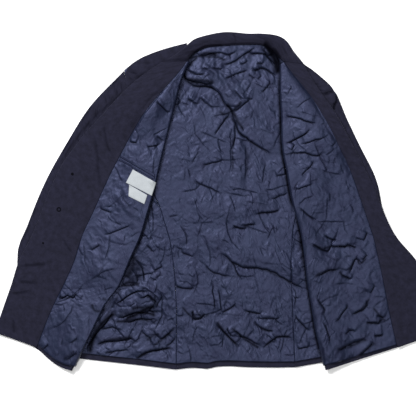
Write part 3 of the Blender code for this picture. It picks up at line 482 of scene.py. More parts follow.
def unit(vectors):
    length = np.linalg.norm(vectors, axis=-1, keepdims=True)
    return vectors / np.maximum(length, 1e-9)


def mix(a, b, share):
    """Points part of the way from a to b, with a row for each point and a column for each share."""
    share = np.asarray(share, float)[None, :, None]
    return a[:, None] * (1 - share) + b[:, None] * share


def tree_over(meshes):
    """A search tree over the faces of these meshes."""
    points, faces = [], []
    for mesh in meshes:
        start = len(points)
        points += [vertex.co.copy() for vertex in mesh.vertices]
        faces += [[start + corner for corner in face.vertices] for face in mesh.polygons]
    return BVHTree.FromPolygons(points, faces)


def tree_of(*nodes):
    """A search tree over the faces of these CAD nodes."""
    return tree_over(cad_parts[node].data for node in nodes)


def heights(tree, flat, side, missing=None):
    """Height of the first face met from above, where side is 1, or from below, where it is -1."""
    found = np.empty(flat.shape[:-1])
    for index in np.ndindex(found.shape):
        x, y = flat[index][0] * MM, (flat[index][1] + SHIFT_Y) * MM
        hit = tree.ray_cast(Vector((x, y, side * 0.2)), Vector((0, 0, -side)))[0]
        if hit is None and missing is not None:
            found[index] = missing
            continue
        if hit is None:
            hit = tree.find_nearest(Vector((x, y, 0.012)))[0]
        found[index] = hit.z / MM
    return found


def joined(flat, height):
    return np.concatenate([flat, height[..., None]], axis=-1)


def followed(tree, flat, face):
    """A flat grid at the height of a solid's upper face, 1, its lower face, -1, or between them, 0."""
    if face:
        return joined(flat, heights(tree, flat, face))
    return joined(flat, (heights(tree, flat, 1) + heights(tree, flat, -1)) / 2)


def rounded(start, end):
    """How far in from its rim each point of a rolled edge lies, from one angle of its round to another."""
    return ROLL * (1 - np.cos(np.linspace(start, end, 5)[:-1]))


def beside(line, inward, reach):
    """Points this far in from each point of a line."""
    return line[:, None] + inward[:, None] * np.asarray(reach)[..., None]


def softened(height, passes, across=True):
    """A grid's heights with its facets smoothed away."""
    for _ in range(passes):
        for axis in ((0, 1) if across else (0,)):
            padded = np.concatenate([height.take([0], axis), height, height.take([-1], axis)], axis)
            count = height.shape[axis]
            before, after = padded.take(range(count), axis), padded.take(range(2, count + 2), axis)
            height = 0.25 * before + 0.5 * height + 0.25 * after
    return height


def finer(grid, rows, columns):
    """A grid run smoothly through this many points for each step of its rows and columns."""
    grid = spline(grid, (len(grid) - 1) * rows + 1)
    return spline(grid.transpose(1, 0, 2), (grid.shape[1] - 1) * columns + 1).transpose(1, 0, 2)


def uneven(line, random, spacing=11.0, stray=0.8):
    """A crease's line, with the small turns of creased cloth."""
    line = np.array(line, float)
    count = max(3, int(np.linalg.norm(np.diff(line, axis=0), axis=1).sum() / spacing) + 1)
    line = spline(line, count)
    line[1:-1] += random.normal(0, stray, (count - 2, 2))
    return line


def close_to(points, line, reach):
    """Which points of a grid lie within reach of a line's box, or None if none does."""
    low, high = line.min(axis=0) - reach, line.max(axis=0) + reach
    near = ((points[..., :2] > low) & (points[..., :2] < high)).all(axis=-1)
    return near if near.any() else None


def nearest_on(line, here):
    """Each point's distance to a line, the same with a sign, the line's normal, and its share of the way."""
    best = np.full(len(here), np.inf)
    signed, travelled, across = np.zeros(len(here)), np.zeros(len(here)), np.zeros((len(here), 2))
    lengths = np.linalg.norm(np.diff(line, axis=0), axis=1)
    done = 0.0
    for start, end, length in zip(line[:-1], line[1:], lengths):
        span = (end - start) / max(length, 1e-6)
        share = np.clip((here - start) @ span, 0, length)
        off = here - start - share[:, None] * span
        distance = np.linalg.norm(off, axis=1)
        closer = distance < best
        normal = np.array([-span[1], span[0]])
        best = np.where(closer, distance, best)
        signed = np.where(closer, off @ normal, signed)
        across = np.where(closer[:, None], normal, across)
        travelled = np.where(closer, done + share, travelled)
        done += length
    return best, signed, across, travelled / done


def eased_ends(shares, reach=0.25):
    """1 along a line, and 0 at both its ends."""
    fade = np.clip(np.minimum(shares, 1 - shares) / reach, 0, 1)
    return fade * fade * (3 - 2 * fade)


def crease(points, wanted, line, deep, width, side, lean):
    """Presses one crease into a grid: a narrow trough, beside a lip that leans over it.

    Side is 1 or -1 for the lip's side of the line. The crease fades out at both ends of its line.
    A grid's fourth value is painted shade, from 0 to 1: how dark each point is painted where it lies down in
    a crease's trough.
    """
    slope = SLOPE * width
    near = close_to(points, line, 2.2 * slope)
    if near is None:
        return
    best, signed, across, shares = nearest_on(line, points[near][:, :2])
    signed, across = side * signed, side * across
    fade = eased_ends(shares) * wanted[near]
    beyond = np.maximum(best**2 - signed**2, 0)
    trough = np.exp(-((best / width) ** 2))
    step = 1 / (1 + np.exp(-(signed - STEP_AT * width) / (STEP_WIDE * width)))
    away = np.exp(-best / slope)
    raised = LIP * step * away - SUNK * (1 - step) * away
    leaning = np.exp(-((signed - LIP_AT * width) ** 2 + beyond) / (LIP_WIDE * width) ** 2)
    # Painted shade: the trough beside the lip is painted dark in the grid's fourth value.
    painted_slit_shade = np.exp(-((signed + PAINTED_SLIT_AT * width) ** 2 + beyond) / (PAINTED_SLIT_WIDE * width) ** 2)
    points[near, 2] += deep * fade * (raised - TROUGH * trough)
    points[near, :2] -= across * (lean * width * fade * leaning * min(1, deep / width))[:, None]
    points[near, 3] = np.maximum(points[near, 3], painted_slit_shade * fade * min(1, deep / PAINTED_SLIT_FULL_AT))


def paint_crevice_shade(points, table):
    """Paints shade into a grid's fourth value where a cloth lies in a crevice or under a fold, by a table's
    rows.
    """
    for width, closed, *line in table:
        line = np.reshape(line, (-1, 2))
        line = spline(line, 4 * len(line))
        near = close_to(points, line, 3 * width)
        if near is not None:
            best, _, _, shares = nearest_on(line, points[near][:, :2])
            # Painted shade, darkest on the line and fading out to its sides and ends.
            painted_slit_shade = closed * eased_ends(shares, 0.12) * np.exp(-((best / width) ** 2))
            points[near, 3] = np.maximum(points[near, 3], painted_slit_shade)


def with_painted_slit_shades(points):
    """A grid's points, with a fourth value for the shade painted on each, from 0 to 1."""
    return np.concatenate([points, np.zeros(points.shape[:2] + (1,))], axis=-1)


def lit_side(line):
    """The side of a line that faces the key light, so that a lip on it shades the trough."""
    span = line[-1] - line[0]
    return 1 if -span[1] * -0.5 + span[0] * 0.85 > 0 else -1


def creases(points, wanted, table, seed, lean=1.6):
    """Presses the creases of a table into a grid."""
    random = np.random.default_rng(seed)
    for high, wide, *line in table:
        line = uneven(np.reshape(line, (-1, 2)), random)
        crease(points, wanted, line, high, wide * random.uniform(0.9, 1.1), lit_side(line), lean)


def crumple(points, wanted, seed, per_mm2, deepest):
    """Presses small seeded creases all over a cloth, this many for each square millimetre."""
    random = np.random.default_rng(seed)
    low, high = points[..., :2].reshape(-1, 2).min(axis=0), points[..., :2].reshape(-1, 2).max(axis=0)
    for _ in range(int(per_mm2 * np.prod(high - low))):
        middle = random.uniform(low, high)
        angle = random.uniform(0, math.pi)
        length = 16 + 90 * random.uniform() ** 2
        step = np.array([math.cos(angle), math.sin(angle)]) * length / 2
        bow = np.array([-step[1], step[0]]) * random.uniform(-0.3, 0.3)
        line = uneven([middle - step, middle + bow, middle + step], random)
        deep = deepest * random.uniform(0.3, 1) ** 2
        crease(points, wanted, line, deep, random.uniform(1.4, 2.1), lit_side(line), 1.2)


def gradient_noise(flat, size, seed):
    """Smooth noise from -1 to 1 with features of this size in mm."""
    random = np.random.default_rng(seed)
    place = (flat + 700) / size
    cell = np.floor(place).astype(int)
    part = place - cell
    angle = random.uniform(0, 2 * np.pi, (int(1500 / size) + 2,) * 2)
    slopes = np.stack([np.cos(angle), np.sin(angle)], axis=-1)
    ease = part * part * part * (part * (6 * part - 15) + 10)
    total = 0
    for dx in (0, 1):
        for dy in (0, 1):
            slope = slopes[cell[..., 0] + dx, cell[..., 1] + dy]
            rise = ((part - (dx, dy)) * slope).sum(axis=-1)
            total = total + rise * np.abs(1 - dx - ease[..., 0]) * np.abs(1 - dy - ease[..., 1])
    return total * 1.5


def facets(flat, size, seed):
    """Height of crumpled cloth from -1 to 1: flat facets that meet in sharp ridges and valleys."""
    stray = np.stack([gradient_noise(flat, size * 1.3, seed + number) for number in (1, 2)], axis=-1)
    bent = flat + 0.35 * size * stray
    ridges, valleys = (np.abs(gradient_noise(bent, size, seed + number)) for number in (3, 4))
    return ridges - valleys


def crumpled(points, wanted, seed, coarse, fine):
    """Adds the facets of crumpled cloth, coarse ones and fine ones of these heights."""
    flat = points[..., :2].copy()
    patchy = 0.75 + 0.5 * gradient_noise(flat, FACET_PATCH, seed + 20)
    height = coarse * facets(flat, COARSE_FACET, seed) + fine * facets(flat, FINE_FACET, seed + 7)
    height = height + 0.45 * fine * facets(flat, FINEST_FACET, seed + 13)
    points[..., 2] += wanted * patchy * height


def to_linear(colour):
    """A #rrggbb colour in linear light."""
    channels = [int(colour[start:start + 2], 16) / 255 for start in (1, 3, 5)]
    return (*[((c + 0.055) / 1.055) ** 2.4 if c > 0.04045 else c / 12.92 for c in channels], 1.0)


def add(tree, kind, inputs=None, **settings):
    """A shader node with its settings. An input takes a value or another node's output."""
    node = tree.nodes.new(kind)
    for name, value in settings.items():
        setattr(node, name, value)
    for name, value in (inputs or {}).items():
        if isinstance(value, bpy.types.NodeSocket):
            tree.links.new(value, node.inputs[name])
        else:
            node.inputs[name].default_value = value
    return node


def cloth_material(name, colours, roughness, weave, bump, sheen, specular, tint, patch, wrinkle=0.0):
    """A woven cloth.

    Colours are its dark and its light yarn, mixed in patches of this size in mm. Weave is the thread's
    spacing in mm, and wrinkle the height in mm of fine wrinkles that are too small for the mesh.
    """
    made = bpy.data.materials.new(name)
    made.use_nodes = True
    tree = made.node_tree
    surface = tree.nodes["Principled BSDF"]
    surface.inputs["Roughness"].default_value = roughness
    surface.inputs["Specular Tint"].default_value = to_linear(tint)
    surface.inputs["Sheen Weight"].default_value = sheen
    surface.inputs["Sheen Roughness"].default_value = 0.4
    surface.inputs["Sheen Tint"].default_value = to_linear(tint)
    place = add(tree, "ShaderNodeTexCoord")
    threads = add(tree, "ShaderNodeTexNoise", {
        "Vector": place.outputs["UV"], "Scale": 1000 / weave, "Detail": 2.0,
    })
    raised = add(tree, "ShaderNodeBump", {
        "Height": threads.outputs["Fac"], "Strength": bump, "Distance": weave * MM * 0.3,
    })
    if wrinkle:
        ridges = add(tree, "ShaderNodeTexNoise", {
            "Vector": place.outputs["UV"], "Scale": 1000 / 19, "Detail": 4.0,
            "Roughness": 0.62, "Distortion": 0.7,
        }, noise_type="RIDGED_MULTIFRACTAL")
        raised = add(tree, "ShaderNodeBump", {
            "Height": ridges.outputs["Fac"], "Strength": 1.0, "Distance": wrinkle * MM,
            "Normal": raised.outputs["Normal"],
        })
    tree.links.new(raised.outputs["Normal"], surface.inputs["Normal"])
    patches = add(tree, "ShaderNodeTexNoise", {
        "Vector": place.outputs["UV"], "Scale": 1000 / patch, "Detail": 4.0, "Roughness": 0.7,
    })
    spread = add(tree, "ShaderNodeMapRange", {
        "Value": patches.outputs["Fac"], "From Min": 0.3, "From Max": 0.7,
    })
    blend = add(tree, "ShaderNodeMix", {
        "Factor": spread.outputs["Result"], "A": to_linear(colours[0]), "B": to_linear(colours[1]),
    }, data_type="RGBA")
    # Painted shade: where the slit value is high, the cloth's colour is painted near black and its specular
    # is dulled. This stands in for shade that the mesh is too coarse to cast.
    painted_slit_shade = add(tree, "ShaderNodeAttribute", attribute_name="painted_slit_shade")
    dark = add(tree, "ShaderNodeMix", {
        "Factor": painted_slit_shade.outputs["Fac"], "A": blend.outputs["Result"], "B": to_linear("#030306"),
    }, data_type="RGBA")
    shine = add(tree, "ShaderNodeMapRange", {
        "Value": painted_slit_shade.outputs["Fac"], "To Min": specular, "To Max": 0.02,
    })
    tree.links.new(dark.outputs["Result"], surface.inputs["Base Color"])
    tree.links.new(shine.outputs["Result"], surface.inputs["Specular IOR Level"])
    return made


# Fine worsted serge, pressed flat: dark and matt, with flecks where its yarns differ.
SERGE = cloth_material(
    "navy_worsted_serge_pressed", ("#171720", "#21212f"), roughness=0.9, weave=1.6, bump=0.6,
    sheen=0.06, specular=0.2, tint="#8c8cb0", patch=14,
)
# Acetate satin, woven with long floats: its creases catch long soft highlights.
SATIN_CLOTH = cloth_material(
    "navy_acetate_satin_crumpled", ("#0f1122", "#151b2b"), roughness=0.48, weave=0.45, bump=0.1,
    sheen=0.0, specular=0.4, tint="#b6bff6", patch=34, wrinkle=1.5,
)
# Woven damask label in bare white polyester, with a slight gloss.
LABEL_CLOTH = cloth_material(
    "white_polyester_label_woven", ("#92979b", "#9a9fa3"), roughness=0.6, weave=0.5, bump=0.3,
    sheen=0.05, specular=0.4, tint="#ffffff", patch=12,
)
# Twisted polyester thread, nearly black.
THREAD = cloth_material(
    "dark_thread_twisted", ("#07070b", "#0b0b10"), roughness=0.7, weave=0.4, bump=0.3,
    sheen=0.05, specular=0.2, tint="#606070", patch=4,
)


def plastic_material(name, colour):
    """Moulded polyester resin, polished: a small clean highlight on each button's rim."""
    made = bpy.data.materials.new(name)
    made.use_nodes = True
    surface = made.node_tree.nodes["Principled BSDF"]
    surface.inputs["Base Color"].default_value = to_linear(colour)
    surface.inputs["Roughness"].default_value = 0.25
    surface.inputs["IOR"].default_value = 1.55
    return made


BUTTON_RESIN = plastic_material("navy_resin_moulded_polished", "#23242f")
CLOTH_OF_SLOT = {
    "navy_wool": SERGE, "navy_satin": SATIN_CLOTH, "white_label": LABEL_CLOTH, "navy_button": BUTTON_RESIN,
}


def put(obj, slot, node):
    """Links a piece, gives it its cloth, and ties it to the frame."""
    bpy.context.scene.collection.objects.link(obj)
    obj.data.materials.append(CLOTH_OF_SLOT[slot])
    obj.data.shade_smooth()
    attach(obj, "root")
    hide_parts(node)
    return obj


def grid_mesh(name, points, closed=False, skirt=0.0):
    """A mesh over a grid of points, with its cloth's own distances as UV. A skirt turns its edges down."""
    painted_slit_shades = points[..., 3] if points.shape[-1] > 3 else np.zeros(points.shape[:2])
    points = points[..., :3]
    if skirt:
        painted_slit_shades = np.pad(painted_slit_shades, ((1, 1), (0, 0)) if closed else 1, mode="edge")
        down = (0, 0, skirt)
        points = np.concatenate([points[:1] - down, points, points[-1:] - down])
        if not closed:
            points = np.concatenate([points[:, :1], points, points[:, -1:]], axis=1)
            points[1:-1, 0] -= down
            points[1:-1, -1] -= down
            points[0, (0, -1)] = points[1, (0, -1)]
            points[-1, (0, -1)] = points[-2, (0, -1)]
    rows, columns = points.shape[:2]
    number = np.arange(rows * columns).reshape(rows, columns)
    if closed:
        number = np.concatenate([number, number[:, :1]], axis=1)
    corners = (number[:-1, :-1], number[1:, :-1], number[1:, 1:], number[:-1, 1:])
    faces = np.stack(corners, axis=-1).reshape(-1, 4)
    mesh = bpy.data.meshes.new(name)
    world = (points + (0, SHIFT_Y, 0)).reshape(-1, 3) * MM
    mesh.from_pydata(world.tolist(), [], faces.tolist())
    layer = mesh.uv_layers.new(name="cloth")
    across = np.zeros((rows, columns))
    across[:, 1:] = np.cumsum(np.linalg.norm(np.diff(points, axis=1), axis=-1), axis=1)
    down_it = np.zeros((rows, columns))
    down_it[1:] = np.cumsum(np.linalg.norm(np.diff(points, axis=0), axis=-1), axis=0)
    flat = (np.stack([across, down_it], axis=-1).reshape(-1, 2) * MM)[faces.reshape(-1)]
    layer.data.foreach_set("uv", flat.reshape(-1))
    # Painted shade: how dark each point is painted, read by the cloth's material.
    mesh.attributes.new("painted_slit_shade", "FLOAT", "POINT").data.foreach_set("value", painted_slit_shades.reshape(-1))
    mesh.update()
    # Faces look up where the cloth's first row of points runs left to right.
    normal_z = np.array([face.normal.z * face.area for face in mesh.polygons]).sum()
    if normal_z < 0 and not closed:
        mesh.flip_normals()
    return bpy.data.objects.new(name, mesh)


def cut_of(points):
    """Width, length and area of the cloth that a grid of points covers, in metres."""
    wide = np.linalg.norm(np.diff(points, axis=1), axis=-1).sum(axis=1).max() * MM
    long = np.linalg.norm(np.diff(points, axis=0), axis=-1).sum(axis=0).max() * MM
    a, b, c, d = points[:-1, :-1], points[:-1, 1:], points[1:, 1:], points[1:, :-1]
    first = np.linalg.norm(np.cross(b - a, c - a), axis=-1).sum()
    second = np.linalg.norm(np.cross(c - a, d - a), axis=-1).sum()
    return wide, long, (first + second) / 2 * MM * MM


def lay(name, points, plain, slot, node, skirt=SATIN_EDGE, closed=False):
    """Makes a sheet's piece, and works out how large its flat cloth was, from the sheet before it was
    creased.
    """
    piece = put(grid_mesh(name, points, closed, skirt), slot, node)
    wide, long, area = cut_of(plain)
    wide, long = max(wide, LEAST_SIDE), max(long, LEAST_SIDE)
    area = min(max(area, LEAST_AREA * wide * long), wide * long)


def kept_between(points, under, over, gap, room=0.5):
    """Points lifted clear of the nodes under them, and kept below the nodes over them."""
    flat = points[..., :2]
    least = heights(under, flat, 1, missing=-1.0) + gap
    points = points.copy()
    points[..., 2] = np.maximum(points[..., 2], least)
    if over is not None:
        most = heights(over, flat, -1, missing=99.0) - room
        points[..., 2] = np.where(most > least, np.minimum(points[..., 2], most), points[..., 2])
    return points


def calm_at_edges(shape):
    """How far creases go at each point of a grid: wholly, but for its outermost steps."""
    down, across = np.indices(shape[:2])
    step = np.minimum(np.minimum(down, shape[0] - 1 - down), np.minimum(across, shape[1] - 1 - across))
    return 1 - 0.8 * np.clip(1 - step / 4, 0, 1)


def groove(points, edge_drop=0.5, next_drop=0.2, first=False, last=False):
    """Edges of a cloth drawn down into its seam."""
    points = points.copy()
    for wanted, edge, inner in ((first, 0, 1), (last, -1, -2)):
        if wanted:
            points[:, edge, 2] -= edge_drop
            points[:, inner, 2] -= next_drop
    return points


def patch(left, right, top, bottom, across):
    """A flat grid between four edges."""
    v = np.linspace(0, 1, len(left))[:, None, None]
    u = np.asarray(across)[None, :, None]
    sides = left[:, None] * (1 - u) + right[:, None] * u
    ends = top[None] * (1 - v) + bottom[None] * v
    corners = (1 - v) * ((1 - u) * top[0] + u * top[-1]) + v * ((1 - u) * bottom[0] + u * bottom[-1])
    return sides + ends - corners


def drawn_up(flat):
    """The grid with its last rows moved up, so that the hem's strip shows."""
    flat = flat.copy()
    fade = np.linspace(0, 1, HEM_EASES)[:, None, None]
    up = unit(flat[-HEM_EASES - 1] - flat[-1])
    flat[-HEM_EASES:] += up[None] * BACK_HEM_SHOWS * fade
    return flat


under_back = tree_of(
    "shell_back", "shell_side_left", "shell_side_right", "hem_back", "hem_side_left", "hem_side_right",
)
over_back = tree_of(
    "lining_front_left", "lining_front_right", "collar_stand", "facing_left", "facing_right",
    "shell_front_left", "shell_front_right",
)
lining_tops = tree_of("lining_back", "lining_side_left", "lining_side_right")


def draped(flat):
    """A flat grid of the back or a side at the height of its lining, softened and made denser."""
    return finer(joined(flat, softened(heights(lining_tops, flat, 1), 5)), DENSER, DENSER)


def creased_lining(plain, coarse, fine, seed, per_mm2, deepest, hem=False):
    """The back's or a side's lining with its creases, between the cloth under it and the cloth over it."""
    points = with_painted_slit_shades(plain)
    wanted = calm_at_edges(points.shape)
    crumpled(points, wanted, BACK_FACET_SEED, coarse, fine)
    creases(points, wanted, BACK_MARKED + SIDE_MARKED, BACK_CREASE_SEED)
    # Painted shade in slits and beside the fronts' folds.
    paint_crevice_shade(points, BACK_PAINTED_CREVICE_SHADE)
    crumple(points, wanted, seed, per_mm2, deepest)
    return kept_between(groove(points, first=True, last=hem), under_back, over_back, LINING_CLEARS)


# Lining of the back, from the neck to the hem.
back_flat = drawn_up(patch(
    along(LEFT_EDGE, BACK_ROWS), along(RIGHT_EDGE, BACK_ROWS), along(NECK, BACK_COLUMNS),
    along(HEM, BACK_COLUMNS), np.linspace(0, 1, BACK_COLUMNS),
))
back_flat[:, 0] += (SEAM_GAP, 0)
back_flat[:, -1] -= (SEAM_GAP, 0)
back_plain = draped(back_flat)
back = creased_lining(back_plain, 1.5, 1.0, seed=53, per_mm2=0.0014, deepest=1.7, hem=True)
lay("back_lining", back, back_plain, "navy_satin", "lining_back")


def side_lining(side, edge, turn, columns, seed):
    """Lining of a side body, from its seam with the back to where the front turns back over it."""
    seam = along(edge, BACK_ROWS)
    seam = seam[seam[:, 1] < turn[0][1] - SIDE_STARTS]
    turn = np.array(turn, float)
    down = (seam[0, 1] - seam[:, 1]) / (seam[0, 1] - seam[-1, 1])
    y = seam[0, 1] + (turn[-1, 1] - seam[0, 1]) * down
    outer = np.stack([np.interp(-y, -turn[:, 1], turn[:, 0]), y], axis=1)
    outer += unit(seam - outer) * LINING_STOPS
    flat = drawn_up(mix(seam, outer, np.linspace(0, 1, columns)))
    flat[:, 0] += unit(flat[:, 1] - flat[:, 0]) * SEAM_GAP
    plain = draped(flat)
    points = creased_lining(plain, 2.2, 1.3, seed, per_mm2=0.0016, deepest=2.2)
    lay("side_lining_" + side, points, plain, "navy_satin", "lining_side_" + side)


side_lining("left", LEFT_EDGE, LEFT_TURN, columns=42, seed=62)
side_lining("right", RIGHT_EDGE, RIGHT_TURN, columns=15, seed=64)


def inside_of_front(side, table, folds, facing_folds, seed):
    """The facing and the lining of a front, from under the lapel over to under the inner fold."""
    field = dict(zip(FRONT_FIELDS, spline(table, FRONT_ROWS).T))
    edge, seam, fold, turn = (
        np.stack([field[part + "_x"], field[part + "_y"]], axis=1)
        for part in ("edge", "seam", "fold", "turn")
    )
    lapel = np.maximum(field["lapel"], LEAST_LAPEL)[:, None]
    sag = np.maximum(field["sag"], 0)[:, None]
    in_from_edge, in_from_fold = unit(seam - edge), unit(seam - fold)
    roll = rounded(math.pi / 2, 0)
    under_lapel = lapel + ROLL + (ROLL - lapel - ROLL) * np.linspace(0, 1, 6)[:-1]
    reach = np.concatenate([under_lapel, np.tile(roll, (len(lapel), 1))], axis=1)
    facing_flat = mix(edge + in_from_edge * ROLL, seam, np.linspace(0, 1, FACING_COLUMNS))
    shares = np.linspace(0, 1, LINING_COLUMNS)
    lining_flat = mix(seam, fold + in_from_fold * ROLL, shares)
    lining_flat[..., 1] -= sag * np.sin(np.pi * shares)
    fold_over = beside(fold, in_from_fold, roll)
    under_start = fold + in_from_fold * ROLL
    under_end = turn + unit(under_start - turn) * LINING_STOPS
    under_flat = mix(under_start, under_end, np.linspace(0, 1, 7))
    own = tree_of("facing_" + side, "lining_front_" + side)
    # From under the lapel round the edge, over the facing and the lining, and round the inner fold.
    stretches = (
        (beside(edge, in_from_edge, reach), -1),
        (beside(edge, in_from_edge, [RIM]), 0),
        (beside(edge, in_from_edge, roll[::-1]), 1),
        (facing_flat[:, 1:], 1),
        (lining_flat[:, 1:], 1),
        (fold_over, 1),
        (beside(fold, in_from_fold, [RIM]), 0),
        (fold_over[:, ::-1], -1),
        (under_flat[:, 1:], -1),
    )
    parts = [followed(own, flat, face) for flat, face in stretches]
    counts = np.cumsum([part.shape[1] for part in parts])
    plain = np.concatenate(parts, axis=1)
    first, last = counts[1], counts[4] - 1  # columns of the upper limb
    plain[..., 2] = softened(plain[..., 2], 3, across=False)
    plain[:, first + 2:last, 2] = softened(plain[:, first + 2:last, 2], 4)
    plain = finer(plain, DENSER, DENSER)
    first, last, cut = DENSER * first, DENSER * last, DENSER * (counts[3] - 1)
    column = np.arange(plain.shape[1])
    steps = (first, first + 9, cut - 4, cut, cut + 4, last - 12, last)
    keep = np.interp(column, steps, (0, 1, 1, 0.3, 1, 1, 0.3))
    keep = keep * np.ones((len(plain), 1)) * calm_at_edges(plain.shape)
    satin = keep * (column > cut)
    wool = keep * ((column <= cut) & (column > first))
    points = with_painted_slit_shades(plain)
    crumpled(points, satin, seed, 1.3, 0.7)
    crumpled(points, wool, seed + 30, 0.8, 0.15)
    creases(points, satin, folds, seed + 1)
    creases(points, wool, facing_folds, seed + 4, 0.4)
    crumple(points, satin + 0.1 * wool, seed + 2, 0.0009, 1.5)
    # Painted shade in the hollows of the lining.
    paint_crevice_shade(points[:, cut:last], FRONT_PAINTED_CREVICE_SHADE)
    for step, drop in ((-1, 0.1), (0, 0.4), (1, 0.2)):
        points[:, cut + step, 2] -= drop
    under = tree_of("shell_front_" + side, "hem_front_" + side)
    points[:, first:last] = kept_between(points[:, first:last], under, None, FRONT_CLEARS)
    facing = points[:, :cut + 1].copy()
    lining = points[:-HEM_ROWS_CUT, cut:].copy()
    gap = unit((points[:, cut + 1] - points[:, cut - 1]) * (1, 1, 1, 0)) * SEAM_GAP
    facing[:, -1] -= gap
    lining[:, 0] += gap[:-HEM_ROWS_CUT]
    lay(
        "front_facing_" + side, facing, plain[:, :cut + 1], "navy_wool", "facing_" + side,
        WOOL_EDGE,
    )
    lay(
        "front_lining_" + side, lining, plain[:, cut:], "navy_satin", "lining_front_" + side,
    )


inside_of_front("left", LEFT_FRONT, LEFT_MARKED, FACING_LEFT_MARKED, seed=71)
inside_of_front("right", RIGHT_FRONT, RIGHT_MARKED, (), seed=81)


def sleeve(side, table, folds, seed):
    """A sleeve pressed flat, one ring round it."""
    rows = spline(table, SLEEVE_ROWS)
    outer, inner = rows[:, :2], rows[:, 2:]
    out = unit(outer - inner)
    roll = rounded(math.pi / 2, 0)
    top = mix(outer - out * ROLL, inner + out * ROLL, np.linspace(0, 1, SLEEVE_COLUMNS))
    low = mix(inner + out * ROLL, outer - out * ROLL, np.linspace(0, 1, 8))
    outer_roll, inner_roll = beside(outer, -out, roll), beside(inner, out, roll)
    own = tree_of("sleeve_" + side)
    upper = (outer_roll[:, ::-1], top, inner_roll[:, 1:])
    lower = (inner_roll[:, ::-1][:, :-1], low, outer_roll[:, 1:])
    parts = [followed(own, flat, 1) for flat in upper] + [followed(own, flat, -1) for flat in lower]
    plain = np.concatenate(parts, axis=1)
    shown = slice(parts[0].shape[1], parts[0].shape[1] + SLEEVE_COLUMNS)
    plain[:, shown, 2] = softened(plain[:, shown, 2], SMOOTHING)
    points = with_painted_slit_shades(plain)
    middle = points[:, shown].copy()
    keep = np.interp(np.arange(SLEEVE_COLUMNS), (0, 4, 39, 43), (0, 1, 1, 0)) * np.ones((len(points), 1))
    crumpled(middle, keep, seed, 0.6, 0.15)
    creases(middle, keep, folds, seed + 1, 0.8)
    # Painted shade beside the front's roll.
    paint_crevice_shade(middle, ROLL_PAINTED_CREVICE_SHADE)
    crumple(middle, keep, seed + 2, 0.0004, 0.9)
    over = tree_of("facing_" + side, "shell_front_" + side)
    middle = kept_between(middle, tree_of("shell_back"), over, 0.0)
    middle[..., 2] = np.maximum(middle[..., 2], SLEEVE_LOWEST)
    points[:, shown] = middle
    ring = np.concatenate([plain, plain[:, :1]], axis=1)
    lay(
        "flat_sleeve_" + side, points, ring, "navy_wool", "sleeve_" + side,
        skirt=0.0, closed=True,
    )


sleeve("left", LEFT_SLEEVE, SLEEVE_LEFT_FOLDS, seed=41)
sleeve("right", RIGHT_SLEEVE, SLEEVE_RIGHT_FOLDS, seed=42)


def collar_strip():
    """The inside of the collar's stand, from its roll to over the neck seam."""
    rows = spline(COLLAR, COLLAR_ROWS)
    edge, seam = rows[:, :2], rows[:, 2:4]
    inward = unit(seam - edge)
    flat = np.concatenate([
        beside(edge, inward, rounded(0, math.pi / 2) + RIM),
        mix(edge + inward * ROLL, seam + inward * COLLAR_LAPS, np.linspace(0, 1, COLLAR_COLUMNS)),
    ], axis=1)
    for end in (0, -1):
        flat[end, :, 1] -= 0.5
    z = heights(tree_of("collar_stand"), flat, 1)
    facings = tree_of("facing_left", "facing_right")
    for end, step in ((0, 1), (len(flat) - 1, -1)):
        met = heights(facings, flat[end] - (0, 2.5), 1)
        for number in range(GORGE_BLENDS):
            share = number / GORGE_BLENDS
            share = share * share * (3 - 2 * share)
            z[end + step * number] = met * (1 - share) + z[end + step * number] * share
    plain = finer(joined(flat, z), 2, 2)
    plain[..., 2] = softened(plain[..., 2], 8, across=False)
    plain[:, 8:, 2] = softened(plain[:, 8:, 2], 3)
    points = with_painted_slit_shades(plain)
    column = np.indices(points.shape[:2])[1]
    # Painted shade, darker towards the neck seam, for the shade of the collar's roll.
    points[..., 3] = COLLAR_PAINTED_SHADE * (column / column.max()) ** 2
    wanted = np.clip(column / 10, 0, 1)
    crumpled(points, wanted, 95, 1.3, 0.5)
    creases(points, wanted, COLLAR_MARKED, 96, 0.5)
    # Painted shade from the back's table, where it falls on the collar.
    paint_crevice_shade(points, BACK_PAINTED_CREVICE_SHADE)
    points = groove(points, last=True)
    points = kept_between(points, tree_of("shell_back", "lining_back", "collar_fall"), None, COLLAR_DEEP)
    lay("collar_inside", points, plain, "navy_wool", "collar_stand", COLLAR_DEEP)


collar_strip()


